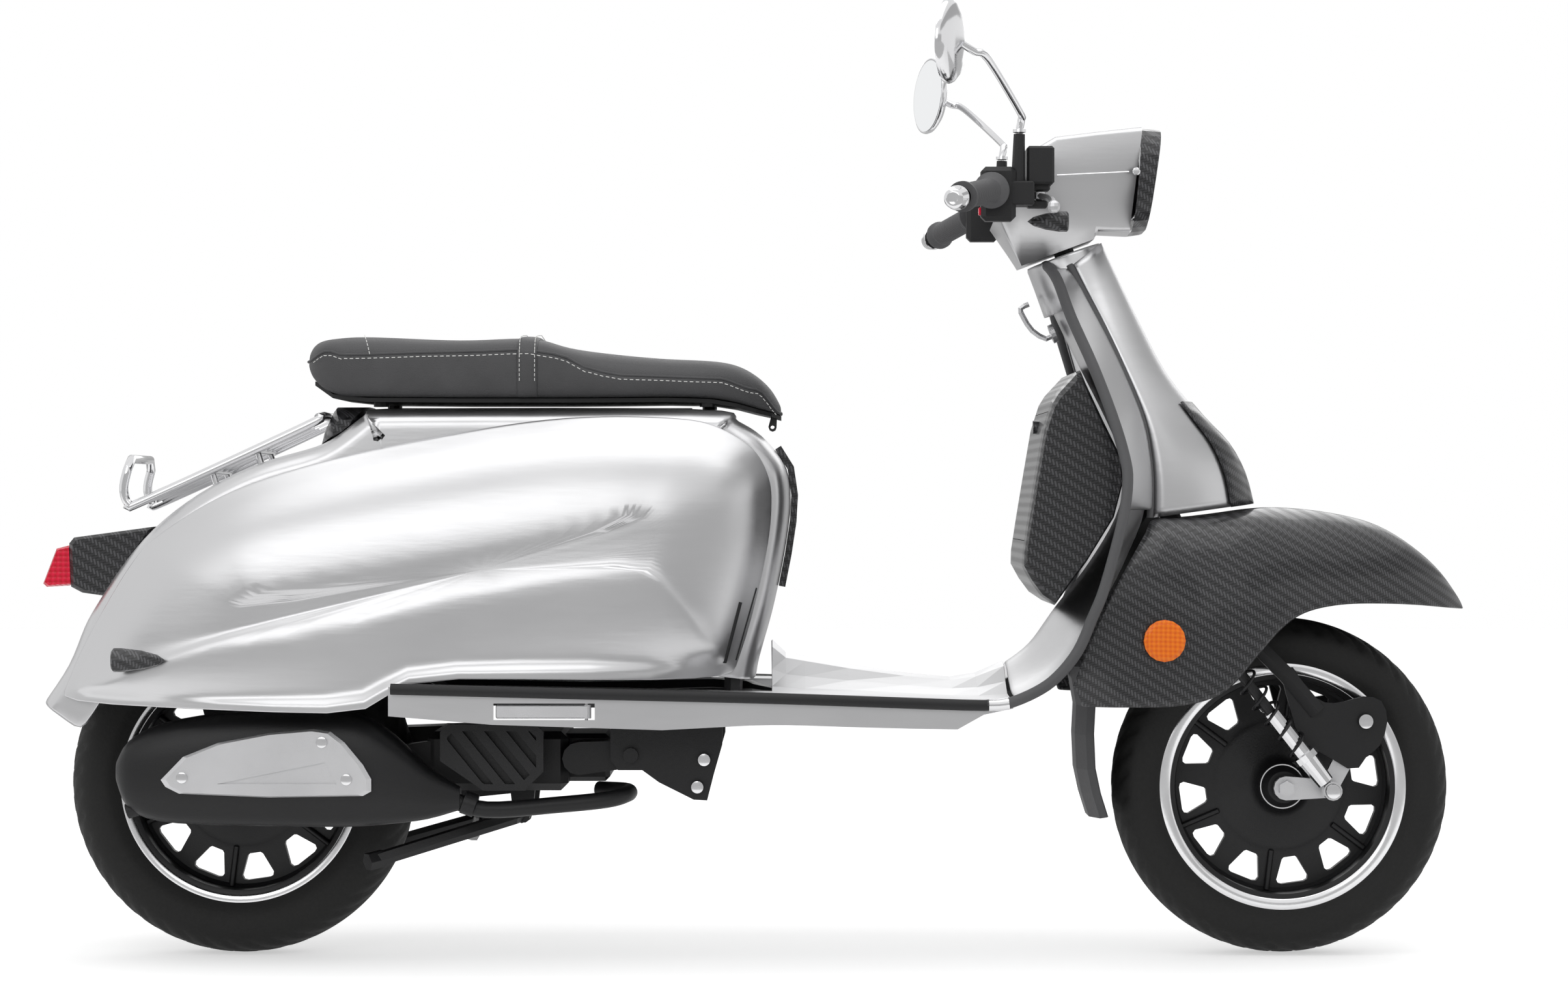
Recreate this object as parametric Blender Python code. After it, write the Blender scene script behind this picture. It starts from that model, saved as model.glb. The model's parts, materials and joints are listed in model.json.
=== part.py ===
"""Step-through moped scooter with 12-inch wheels, built as separate named sub-parts.

Metres, +Z up, +X forward, rider's right at -Y, ground at Z = 0 midway between the ends.
Every outline is drawn for the standard wheelbase and tyres; stretched() carries a change of
wheelbase into the open floor and lifts the machine with its tyres.
"""

import math

import bmesh
import bpy
from mathutils import Matrix, Vector

# ---- driving dimensions ------------------------------------------------------------------
WHEELBASE = 1.403
REAR_AXLE_X = -0.694 - (WHEELBASE - 1.403) / 2
FRONT_AXLE_X = REAR_AXLE_X + WHEELBASE
RAKE = math.radians(22.0)

TYRE_SIDES = 36
RIM_SIDES = 24
FRONT_TYRE_RADIUS = 0.2285
FRONT_TYRE_WIDTH = 0.110
REAR_TYRE_RADIUS = 0.2338
REAR_TYRE_WIDTH = 0.120
TREAD_FLAT = 0.060
SIDEWALL_RISE = 0.026
SHOULDER_DROP = 0.011
RIM_LIP_RADIUS = 0.169
RIM_BARREL_RADIUS = 0.150
RIM_WIDTH = 0.086
HUB_RADIUS = 0.031
WINDOWS = 12

BODY_HALF_WIDTH = 0.235
BODY_TAPER = 0.80
SPINE_HALF_WIDTH = 0.150
FLOOR_HALF_WIDTH = 0.240
FOOTBOARD_INNER = 0.165
TRIM_RADIUS = 0.0075
SEAT_HALF_WIDTH = 0.140
BAR_HALF_WIDTH = 0.345
BAR_RADIUS = 0.011
GRIP_RADIUS = 0.0165
SHEET = 0.0025
AXLE_RADIUS = 0.0075
LINK_Y = 0.0655
LINK_THICKNESS = 0.010
BRACKET_THICKNESS = 0.008
SHOCK_Y = 0.107
SPRING_RADIUS = 0.0175
DAMPER_RADIUS = 0.0115
REAR_SHOCK_Y = 0.160
FRAME_TUBE = 0.0125
LOOP_CLEARANCE = 0.0015
STEM_RADIUS = 0.014
RAIL_Y = 0.125
GAP = 0.0003
RUNNING = 0.0005
PIN = 0.004

# ---- fixed points of the mechanism, in the drawn frame -----------------------------------
DRAWN_REAR_X = -0.694
DRAWN_FRONT_X = 0.709
DRAWN_FRONT_Z = 0.2276
DRAWN_REAR_Z = 0.2329
FRONT_AXLE = (DRAWN_FRONT_X, DRAWN_FRONT_Z)
REAR_AXLE = (DRAWN_REAR_X, DRAWN_REAR_Z)
LINK_PIVOT = (0.8135, 0.3182)
SHOCK_LOW = (0.766, 0.2270)
SHOCK_TOP = (0.615, 0.4205)
ENGINE_PIVOT = (-0.165, 0.276)
REAR_SHOCK_TOP = (-0.612, 0.560)
REAR_SHOCK_LOW = (-0.668, 0.318)
STAND_PIVOT = (-0.313, 0.193)
SEAT_HINGE = (0.022, 0.712)
DOOR_HINGE = (0.3558, 0.5596)
STRETCH_FROM = 0.07
STRETCH_TO = 0.19

MATERIALS = {
    "silver": ((0.62, 0.62, 0.63), 1.0, 0.28),
    "carbon": ((0.035, 0.035, 0.038), 0.0, 0.30),
    "black_metal": ((0.02, 0.02, 0.02), 0.3, 0.45),
    "black_plastic": ((0.03, 0.03, 0.03), 0.0, 0.55),
    "tyre": ((0.025, 0.025, 0.025), 0.0, 0.85),
    "rubber": ((0.10, 0.10, 0.10), 0.0, 0.75),
    "leather": ((0.085, 0.085, 0.088), 0.0, 0.60),
    "chrome": ((0.80, 0.80, 0.81), 1.0, 0.08),
    "amber": ((0.90, 0.25, 0.01), 0.0, 0.25),
    "red": ((0.80, 0.01, 0.04), 0.0, 0.25),
    "clear": ((0.85, 0.88, 0.90), 0.0, 0.10),
    "aluminium": ((0.55, 0.55, 0.55), 1.0, 0.40),
}


# ---- frame of reference ------------------------------------------------------------------
def lerp(a, b, t):
    return a + (b - a) * t


def tyre_height(radius):
    """Axle height of a tyre that stands on one flat of its tread."""
    return radius * math.cos(math.pi / TYRE_SIDES)


def stretched(point):
    """Carry a drawn point to the real wheelbase and tyre heights."""
    x, y, z = point
    extra = WHEELBASE - (DRAWN_FRONT_X - DRAWN_REAR_X)
    share = min(max((x - STRETCH_FROM) / (STRETCH_TO - STRETCH_FROM), 0.0), 1.0)
    along = (x - DRAWN_REAR_X) / (DRAWN_FRONT_X - DRAWN_REAR_X)
    rear_lift = tyre_height(REAR_TYRE_RADIUS) - DRAWN_REAR_Z
    front_lift = tyre_height(FRONT_TYRE_RADIUS) - DRAWN_FRONT_Z
    return Vector((x + extra * (share - 0.5), y, z + lerp(rear_lift, front_lift, along)))


def column(height):
    """Drawn point of the steering axis at a height."""
    return Vector((DRAWN_FRONT_X - (height - DRAWN_FRONT_Z) * math.tan(RAKE), 0.0, height))


COLUMN_AXIS = Vector((-math.sin(RAKE), 0.0, math.cos(RAKE)))


# ---- outlines ----------------------------------------------------------------------------
def smooth(points, steps=3):
    """Points of a Catmull-Rom curve through an open list of points."""
    ends = [points[0], *points, points[-1]]
    curve = []
    for a, b, c, d in zip(ends, ends[1:], ends[2:], ends[3:]):
        for n in range(steps):
            t = n / steps
            curve.append(tuple(
                0.5 * (2 * q + (r - p) * t + (2 * p - 5 * q + 4 * r - s) * t * t
                       + (3 * q - p - 3 * r + s) * t ** 3)
                for p, q, r, s in zip(a, b, c, d)))
    curve.append(tuple(points[-1]))
    return curve


def circle(cx, cz, radius, sides=12, start=0.0, turn=2 * math.pi):
    """Points of a circle, or of an arc with both its ends when turn is less than a full turn."""
    whole = abs(turn) > 6.28
    count = sides if whole else sides + 1
    return [(cx + radius * math.cos(start + turn * n / sides),
             cz + radius * math.sin(start + turn * n / sides)) for n in range(count)]


def inset(outline, depths):
    """An open XZ outline moved to its right-hand side by a depth, or by one depth per point."""
    moved = []
    for n, point in enumerate(outline):
        before = Vector(outline[max(n - 1, 0)])
        after = Vector(outline[min(n + 1, len(outline) - 1)])
        way = (after - before).normalized()
        depth = depths[n] if isinstance(depths, list) else depths
        moved.append((point[0] + way.y * depth, point[1] - way.x * depth))
    return moved


def hull_of_circles(circles, sides=16):
    """Convex outline round a few (x, z, radius) circles, such as a link arm or a lug."""
    cloud = [p for x, z, r in circles for p in circle(x, z, r, sides)]
    cloud.sort()
    chains = []
    for run in (cloud, cloud[::-1]):
        chain = []
        for p in run:
            while len(chain) > 1 and ((chain[-1][0] - chain[-2][0]) * (p[1] - chain[-2][1])
                                      <= (chain[-1][1] - chain[-2][1]) * (p[0] - chain[-2][0])):
                chain.pop()
            chain.append(p)
        chains.append(chain[:-1])
    return chains[0] + chains[1]


# ---- solids ------------------------------------------------------------------------------
def tidy(bm, weld=1e-6):
    bmesh.ops.remove_doubles(bm, verts=bm.verts, dist=weld)
    bmesh.ops.recalc_face_normals(bm, faces=bm.faces)
    return bm


def prism(outline, y0, y1):
    """Closed solid of an XZ outline between two Y planes."""
    bm = bmesh.new()
    face = bm.faces.new([bm.verts.new((x, y0, z)) for x, z in outline])
    moved = bmesh.ops.extrude_face_region(bm, geom=[face])["geom"]
    verts = [v for v in moved if isinstance(v, bmesh.types.BMVert)]
    bmesh.ops.translate(bm, verts=verts, vec=(0, y1 - y0, 0))
    return tidy(bm)


def box(low, high, bevel=0.0):
    """Block between two corners, its edges chamfered when a bevel is given."""
    bm = bmesh.new()
    low, high = Vector(low), Vector(high)
    size = Matrix.Diagonal((high - low).to_4d())
    size[3][3] = 1.0
    bmesh.ops.create_cube(bm, size=1.0, matrix=Matrix.Translation((low + high) / 2) @ size)
    if bevel:
        bmesh.ops.bevel(bm, geom=bm.edges[:], offset=bevel, segments=1, affect="EDGES")
    return tidy(bm)


def rod(start, end, radius, sides=12, end_radius=None):
    """Cylinder or cone between two points."""
    start, end = Vector(start), Vector(end)
    way = end - start
    turn = way.to_track_quat("Z", "Y").to_matrix().to_4x4()
    bm = bmesh.new()
    bmesh.ops.create_cone(
        bm, cap_ends=True, segments=sides, radius1=radius,
        radius2=radius if end_radius is None else end_radius, depth=way.length,
        matrix=Matrix.Translation((start + end) / 2) @ turn)
    return tidy(bm)


def turned(profile, base, axis, sides=24, ring=False, start=0.0):
    """Solid of revolution. The profile lists (radius, distance along the axis) pairs."""
    axis = Vector(axis).normalized()
    turn = axis.to_track_quat("Z", "Y").to_matrix()
    bm = bmesh.new()
    side = Vector((math.cos(start), math.sin(start), 0.0))
    points = [bm.verts.new(side * r + Vector((0, 0, h))) for r, h in profile]
    pairs = list(zip(points, points[1:] + points[:1])) if ring else list(zip(points, points[1:]))
    edges = [bm.edges.new(pair) for pair in pairs]
    bmesh.ops.spin(bm, geom=points + edges, cent=(0, 0, 0), axis=(0, 0, 1), dvec=(0, 0, 0),
                   angle=2 * math.pi, steps=sides, use_duplicate=False)
    tidy(bm, 1e-5)
    bmesh.ops.transform(bm, verts=bm.verts,
                        matrix=Matrix.Translation(Vector(base)) @ turn.to_4x4())
    return tidy(bm, 1e-5)


def loft(rings, capped=True):
    """Solid skinned over closed rings of points, all with the same count."""
    bm = bmesh.new()
    rows = [[bm.verts.new(p) for p in ring] for ring in rings]
    if not capped:
        rows.append(rows[0])
    for low, high in zip(rows, rows[1:]):
        for n in range(len(low)):
            m = (n + 1) % len(low)
            bm.faces.new((low[n], low[m], high[m], high[n]))
    if capped:
        bm.faces.new(rows[0][::-1])
        bm.faces.new(rows[-1])
    return tidy(bm)


def tube(points, radius, resolution=1, cyclic=False):
    """Round bar along a line of points, from a bevelled curve with filled caps."""
    data = bpy.data.curves.new("tube", "CURVE")
    data.dimensions = "3D"
    data.bevel_depth = radius
    data.bevel_resolution = resolution
    data.use_fill_caps = True
    spline = data.splines.new("POLY")
    spline.points.add(len(points) - 1)
    for target, point in zip(spline.points, points):
        target.co = (*point, 1.0)
    spline.use_cyclic_u = cyclic
    return tidy(evaluated(bpy.data.objects.new("tube", data)), 1e-5)


def evaluated(obj):
    """The mesh that an object's modifiers or curve make, as a bmesh; the object goes."""
    bpy.context.scene.collection.objects.link(obj)
    graph = bpy.context.evaluated_depsgraph_get()
    graph.update()
    mesh = bpy.data.meshes.new_from_object(obj.evaluated_get(graph))
    bm = bmesh.new()
    bm.from_mesh(mesh)
    bpy.data.meshes.remove(mesh)
    bpy.data.objects.remove(obj, do_unlink=True)
    return bm


def helper(bm):
    """A hidden object that holds a bmesh while a modifier reads it."""
    mesh = bpy.data.meshes.new("helper")
    bm.to_mesh(mesh)
    return bpy.data.objects.new("helper", mesh)


def combined(base, others, operation):
    """Boolean of a base with each of the other solids in turn, by the EXACT solver."""
    obj = helper(base)
    cutters = [helper(other) for other in others]
    for cutter in cutters:
        bpy.context.scene.collection.objects.link(cutter)
        cutter.hide_render = True
        cutter.display_type = "WIRE"
        step = obj.modifiers.new("step", "BOOLEAN")
        step.operation = operation
        step.solver = "EXACT"
        step.object = cutter
    made = evaluated(obj)
    for cutter in cutters:
        bpy.data.objects.remove(cutter, do_unlink=True)
    return made


def union(base, *others):
    return combined(base, others, "UNION")


def cut(base, *others):
    return combined(base, others, "DIFFERENCE")


def sheet(rows, thickness, inside, keep=None):
    """Thin shell on a grid of points, thickened by Solidify towards the inside point."""
    bm = bmesh.new()
    grid = [[bm.verts.new(p) for p in row] for row in rows]
    for i, (low, high) in enumerate(zip(grid, grid[1:])):
        for j in range(len(low) - 1):
            if keep is None or keep(i, j):
                bm.faces.new((low[j], low[j + 1], high[j + 1], high[j]))
    return thickened(bm, thickness, inside)


def thickened(bm, thickness, inside):
    """An open surface with one wall thickness added on the side of the inside point."""
    bmesh.ops.delete(bm, geom=[v for v in bm.verts if not v.link_faces], context="VERTS")
    tidy(bm, 1e-5)
    inside = Vector(inside)
    facing = sum(f.normal.dot(f.calc_center_median() - inside) * f.calc_area()
                 for f in bm.faces)
    if facing < 0:
        bmesh.ops.reverse_faces(bm, faces=bm.faces)
    obj = helper(bm)
    wall = obj.modifiers.new("wall", "SOLIDIFY")
    wall.thickness = thickness
    wall.offset = -1.0
    wall.use_even_offset = True
    wall.use_quality_normals = True
    return tidy(evaluated(obj), 1e-6)


def both_sides(half):
    """A row of points from the edge to the middle, and on to the other edge."""
    return half + [(x, -y, z) for x, y, z in half[-2::-1]]


def mirrored(bm, side):
    """The solid itself for the right-hand side (-1), or its mirror image for the left (+1)."""
    if side < 0:
        return bm
    bmesh.ops.scale(bm, vec=(1, -1, 1), verts=bm.verts)
    bmesh.ops.reverse_faces(bm, faces=bm.faces)
    return bm


def material(slot):
    found = bpy.data.materials.get(slot)
    if found:
        return found
    colour, metallic, roughness = MATERIALS[slot]
    made = bpy.data.materials.new(slot)
    made.use_nodes = True
    shader = made.node_tree.nodes["Principled BSDF"]
    shader.inputs["Base Color"].default_value = (*colour, 1.0)
    shader.inputs["Metallic"].default_value = metallic
    shader.inputs["Roughness"].default_value = roughness
    return made


def part(name, bm, slot, pivot=None, drawn=True):
    """Name a finished solid and put its origin on its joint, or at the ground point."""
    if drawn:
        for v in bm.verts:
            v.co = stretched(v.co)
    origin = stretched(pivot) if pivot and drawn else Vector(pivot or (0, 0, 0))
    bmesh.ops.translate(bm, verts=bm.verts, vec=-origin)
    bmesh.ops.recalc_face_normals(bm, faces=bm.faces)
    mesh = bpy.data.meshes.new(name)
    bm.to_mesh(mesh)
    bm.free()
    mesh.shade_smooth()
    mesh.set_sharp_from_angle(angle=math.radians(40))
    mesh.materials.append(material(slot))
    obj = bpy.data.objects.new(name, mesh)
    obj.location = origin
    bpy.context.scene.collection.objects.link(obj)
    return obj


# ---- wheels ------------------------------------------------------------------------------
def tyre(name, axle_x, radius, width):
    """Hollow carcass that stands on one flat of its tread."""
    half, flat = width / 2, TREAD_FLAT / 2
    bead = RIM_BARREL_RADIUS + 2 * GAP
    seat = RIM_WIDTH / 2 - 0.0035
    shoulder = radius - SHOULDER_DROP
    bulge = RIM_LIP_RADIUS + min(SIDEWALL_RISE, 0.55 * (shoulder - RIM_LIP_RADIUS))
    right = [(bead, seat - 0.010), (bead, seat), (RIM_LIP_RADIUS + 0.001, seat),
             (bulge, half), (shoulder, half - 0.008), (radius, flat)]
    inner = [(radius - 0.010, flat), (bulge, half - 0.009)]
    profile = right + [(r, -y) for r, y in right[::-1]]
    profile += [(r, -y) for r, y in inner[::-1]] + inner
    centre = (axle_x, 0, tyre_height(radius))
    solid = turned(profile, centre, (0, 1, 0), TYRE_SIDES, ring=True,
                   start=math.pi / TYRE_SIDES)
    part(name, solid, "tyre", pivot=centre, drawn=False)


def rim(name, axle_x, radius):
    """Barrel with two lips, a windowed disc and a hub bored for its axle."""
    half = RIM_WIDTH / 2
    lip, barrel, web = RIM_LIP_RADIUS, RIM_BARREL_RADIUS, RIM_BARREL_RADIUS - 0.0045
    bore = AXLE_RADIUS + RUNNING
    disc = 0.005
    profile = [(bore, -0.058), (HUB_RADIUS, -0.058), (HUB_RADIUS + 0.010, -disc - 0.012),
               (0.086, -disc - 0.004), (0.094, -disc), (web, -disc), (web, -half),
               (lip, -half), (lip, -half + 0.003), (barrel, -half + 0.003)]
    profile += [(r, -y) for r, y in profile[::-1]]
    centre = Vector((axle_x, 0, tyre_height(radius)))
    wheel = turned(profile, centre, (0, 1, 0), RIM_SIDES, ring=True)
    windows = bmesh.new()
    for n in range(WINDOWS):
        angle = 2 * math.pi * (n + 0.27) / WINDOWS
        corners = [(0.0995, -0.0095), (0.0995, 0.0095), (0.110, 0.019), (0.1345, 0.0225),
                   (0.1345, -0.0225), (0.110, -0.019)]
        ring = [(centre.x + r * math.cos(angle) - t * math.sin(angle),
                 centre.z + r * math.sin(angle) + t * math.cos(angle)) for r, t in corners]
        window = prism(ring, -0.02, 0.02)
        mesh = bpy.data.meshes.new("window")
        window.to_mesh(mesh)
        windows.from_mesh(mesh)
        bpy.data.meshes.remove(mesh)
    part(name, cut(wheel, windows), "black_metal", pivot=centre, drawn=False)


# ---- chassis and bodywork ----------------------------------------------------------------
def main_frame():
    """Head tube, backbone, two rails, seat loop, engine plates and the small brackets."""
    pieces = [tube([column(0.600), column(0.700), column(0.905)], 0.022, 4)]
    backbone = smooth([(0.549, 0, 0.622), (0.500, 0, 0.548), (0.440, 0, 0.452),
                       (0.388, 0, 0.385), (0.330, 0, 0.350), (0.250, 0, 0.342),
                       (0.090, 0, 0.342), (0.020, 0, 0.347)], 2)
    pieces.append(tube(backbone, 0.018))
    for side in (-1, 1):
        y = side * RAIL_Y
        rail = smooth([(0.045, 0, 0.343), (0.000, side * 0.075, 0.349), (-0.060, y, 0.354),
                       (-0.420, y, 0.354), (-0.520, y, 0.440), (-0.632, y, 0.582)], 2)
        pieces.append(tube(rail, FRAME_TUBE))
        top = side * (BUCKET_HALF_WIDTH + LOOP_CLEARANCE + FRAME_TUBE)
        loop = smooth([(-0.030, y, 0.350), (-0.027, top, 0.590), (-0.060, top, 0.690),
                       (-0.500, top, 0.690), (-0.640, top, 0.592), (-0.790, top, 0.540)], 2)
        pieces.append(tube(loop, FRAME_TUBE))
        plate = [(-0.192, 0.270), (-0.182, 0.256), (-0.150, 0.256), (-0.128, 0.240),
                 (-0.082, 0.217), (-0.064, 0.216), (-0.056, 0.248), (-0.044, 0.290),
                 (-0.044, 0.352), (-0.192, 0.352)]
        pieces.append(prism(plate, y - 0.004, y + 0.004))
        for bolt in ((-0.068, 0.270), (-0.077, 0.234)):
            pieces.append(rod((bolt[0], y, bolt[1]), (bolt[0], y + side * 0.010, bolt[1]),
                              0.008, 8))
    pieces.append(rod((-0.027, -0.116, 0.585), (-0.027, 0.116, 0.585), 0.010, 8))
    pieces.append(rod((-0.636, -0.124, 0.586), (-0.636, 0.124, 0.586), 0.010, 8))
    x, z = ENGINE_PIVOT
    pieces.append(rod((x, -RAIL_Y - 0.012, z), (x, RAIL_Y + 0.012, z), 0.010, 12))
    x, z = REAR_SHOCK_TOP
    pieces.append(rod((x, RAIL_Y - 0.004, z), (x, REAR_SHOCK_Y + 0.012, z), PIN + 0.002, 10))
    for side in (-1, 1):
        low, high = sorted((side * 0.1065, side * 0.1105))
        pieces.append(box((-0.300, low, 0.690), (-0.270, high, 0.7310)))
        low, high = sorted((side * 0.185, side * 0.205))
        pieces.append(box((0.142, low, 0.340), (0.158, high, 0.3548)))
    pieces.append(rod((0.150, -0.200, 0.345), (0.150, 0.200, 0.345), 0.007, 8))
    pieces.append(rod((0.508, 0, 0.695), (0.5782, 0, 0.7509), 0.003, 8))
    pieces.append(box((0.396, -0.018, 0.372), (0.4212, 0.018, 0.392)))
    bore = rod(column(0.55), column(0.95), STEM_RADIUS + 0.0015, 12)
    part("main_frame", cut(union(*pieces), bore), "black_metal")


FLOOR_STATIONS = [  # (x, skirt bottom, floor, tunnel top)
    (-0.474, 0.334, 0.372, None), (-0.340, 0.323, 0.370, None), (-0.120, 0.316, 0.366, None),
    (-0.006, 0.322, 0.363, None), (0.022, 0.3225, 0.3625, 0.424), (0.040, 0.3225, 0.362, 0.407),
    (0.066, 0.322, 0.361, 0.402), (0.124, 0.320, 0.359, 0.391), (0.200, 0.318, 0.356, 0.3795),
    (0.262, 0.317, 0.353, 0.3738), (0.296, 0.336, 0.352, 0.379), (0.334, 0.344, 0.354, 0.3955)]


def floor_section(x, low, floor, top):
    """Half section from the skirt's lower edge up, in, and over the tunnel."""
    w = FLOOR_HALF_WIDTH
    top = floor if top is None else top
    rise = top - floor
    half = [(x, -w, low), (x, -w, floor), (x, -FOOTBOARD_INNER, floor),
            (x, -0.110, floor + 0.06 * rise), (x, -0.070, floor + 0.40 * rise),
            (x, -0.035, floor + 0.86 * rise), (x, 0.0, top)]
    return both_sides(half)


def floor_board():
    """Pressed floor with its centre tunnel, side skirts and two passenger footboards."""
    rows = [floor_section(*station) for station in FLOOR_STATIONS]
    last = len(rows[0]) - 2
    open_rows = sum(1 for station in FLOOR_STATIONS if station[3] is None) - 1

    def keep(i, j):
        return i > open_rows or j in (0, 1, last - 1, last)

    solid = sheet(rows, SHEET, (0.0, 0.0, 0.10), keep)
    recesses = []
    for side in (-1, 1):
        y = side * FLOOR_HALF_WIDTH
        recesses.append(box((PEG_REAR - 0.003, y - 0.010, PEG_LOW - 0.002),
                            (PEG_FRONT + 0.004, y + 0.010, PEG_HIGH + 0.002)))
    brackets = []
    for side in (-1, 1):
        inner, outer = sorted((side * (FLOOR_HALF_WIDTH - 0.030),
                               side * (FLOOR_HALF_WIDTH - 0.001)))
        for low, high in ((PEG_LOW - 0.008, PEG_LOW - 0.0045),
                          (PEG_HIGH + 0.0045, PEG_HIGH + 0.008)):
            brackets.append(box((PEG_FRONT - 0.018, inner, low), (PEG_FRONT + 0.006, outer, high)))
        x, y = PEG_PIN_X, side * PEG_PIN_Y
        brackets.append(rod((x, y, PEG_LOW - 0.006), (x, y, PEG_HIGH + 0.006), 0.0022, 8))
    solid = union(cut(solid, *recesses), *brackets)
    part("floor_board", solid, "silver")


PEG_FRONT = -0.211
PEG_REAR = -0.335
PEG_LOW = 0.331
PEG_HIGH = 0.3485
PEG_PIN_X = PEG_FRONT - 0.007
PEG_PIN_Y = FLOOR_HALF_WIDTH - 0.006


def passenger_peg(side):
    """Folding footrest, lying in the skirt's recess, hinged on an upright pin."""
    y = PEG_PIN_Y
    low, high = PEG_LOW, PEG_HIGH
    blade = box((PEG_REAR, -y - 0.0065, low), (PEG_PIN_X + 0.003, -y + 0.0055, high), 0.0015)
    eye = rod((PEG_PIN_X, -y, low), (PEG_PIN_X, -y, high), 0.0062, 12)
    bore = rod((PEG_PIN_X, -y, low - 0.01), (PEG_PIN_X, -y, high + 0.01), 0.0022 + RUNNING, 8)
    solid = mirrored(cut(union(blade, eye), bore), side)
    name = "peg_right" if side < 0 else "peg_left"
    part(name, solid, "aluminium", pivot=(PEG_PIN_X, side * y, (low + high) / 2))


# Leg shield rows: edge, fold beside the horncast, middle; each (x, y, z).
SHIELD_ROWS = [
    ((0.3375, 0.2478, 0.3550), (0.3375, 0.120, 0.3585), (0.3375, 0.0, 0.3975)),
    ((0.3620, 0.2478, 0.3655), (0.3640, 0.120, 0.3720), (0.3560, 0.0, 0.4110)),
    ((0.3900, 0.2450, 0.3850), (0.3960, 0.120, 0.3960), (0.3740, 0.0, 0.4290)),
    ((0.4170, 0.2420, 0.4180), (0.4280, 0.120, 0.4320), (0.3980, 0.0, 0.4660)),
    ((0.4360, 0.238, 0.4600), (0.4560, 0.120, 0.4700), (0.4250, 0.0, 0.5000)),
    ((0.4525, 0.240, 0.5020), (0.4820, 0.120, 0.5080), (0.4480, 0.0, 0.5300)),
    ((0.4750, 0.240, 0.5860), (0.5200, 0.120, 0.5860), (0.4860, 0.0, 0.5900)),
    ((0.4820, 0.238, 0.6370), (0.5235, 0.120, 0.6370), (0.4980, 0.0, 0.6400)),
    ((0.4786, 0.230, 0.6700), (0.5205, 0.118, 0.6700), (0.4950, 0.0, 0.6700)),
    ((0.4650, 0.212, 0.7210), (0.5120, 0.112, 0.7210), (0.4720, 0.0, 0.7210)),
    ((0.4430, 0.175, 0.7880), (0.4880, 0.098, 0.7880), (0.4360, 0.0, 0.7880)),
    ((0.4180, 0.122, 0.8555), (0.4575, 0.080, 0.8555), (0.4020, 0.0, 0.8555)),
    ((0.4030, 0.088, 0.9050), (0.4320, 0.062, 0.9050), (0.3800, 0.0, 0.9050)),
]
SHIELD_INSET = TRIM_RADIUS + 0.0010


def shield_section(edge, fold, middle):
    """Half row of the leg shield from its beaded edge to the middle."""
    e, f, m = (Vector((x, -y, z)) for x, y, z in (edge, fold, middle))
    inward = (f - e).normalized()
    start = e + inward * SHIELD_INSET
    return both_sides([tuple(p) for p in (start, start.lerp(f, 0.5), f, f.lerp(m, 0.55), m)])


def leg_shield():
    rows = [shield_section(*row) for row in SHIELD_ROWS]
    part("leg_shield", sheet(rows, 0.002, (0.20, 0.0, 0.62)), "silver")


def edge_trim():
    """One beading round the floor edge, up the leg shield, over its top and back again."""
    w = FLOOR_HALF_WIDTH + TRIM_RADIUS + GAP
    floor = [(-0.470, w, 0.3695), (-0.250, w, 0.3640), (-0.033, w, 0.3590),
             (0.070, w, 0.3560), (0.270, w, 0.3490), (0.310, w, 0.3490)]
    edges = [edge for edge, _, _ in SHIELD_ROWS[1:]]
    half = floor + [(x, y, z) for x, y, z in edges] + [(0.3935, 0.050, 0.9260)]
    path = [(x, -y, z) for x, y, z in half] + [(0.3925, 0, 0.9300)] + half[::-1]
    part("edge_trim", tube(path, TRIM_RADIUS, 2), "rubber")


HORN_ROWS = [  # joint (x, y, z), nose (x, z)
    ((0.4250, 0.056, 0.9290), (0.4680, 0.9620)), ((0.4410, 0.063, 0.8960), (0.4870, 0.9210)),
    ((0.4660, 0.082, 0.8450), (0.5210, 0.8500)), ((0.4920, 0.098, 0.7860), (0.5560, 0.7840)),
    ((0.5155, 0.111, 0.7240), (0.6000, 0.7290)), ((0.5240, 0.116, 0.6800), (0.6360, 0.6910)),
    ((0.5275, 0.119, 0.6370), (0.6580, 0.6510)), ((0.5265, 0.120, 0.5900), (0.6695, 0.6090))]


def horn_section(joint, nose, spread=0.0):
    """Half section of the horncast: full at the sides, blunt at the nose."""
    half = []
    for n in range(6):
        t = math.radians(18 * n)
        along, across = math.sin(t) ** 1.1, math.cos(t) ** 0.75
        half.append((lerp(joint[0], nose[0], along) + spread * along,
                     -(joint[1] + spread) * across if n < 5 else 0.0,
                     lerp(joint[2], nose[1], along)))
    return both_sides(half)


def horncast():
    rows = [horn_section(*row) for row in HORN_ROWS]
    part("horncast", sheet(rows, SHEET, (0.47, 0.0, 0.72)), "silver")


def horn_grille():
    """Carbon cap over the lower nose of the horncast."""
    picked = HORN_ROWS[4:8]
    rows = []
    for joint, nose in picked:
        rows.append(horn_section(joint, nose, 0.0045)[3:-3])
    part("horn_grille", sheet(rows, 0.0030, (0.47, 0.0, 0.72)), "carbon")


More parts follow.
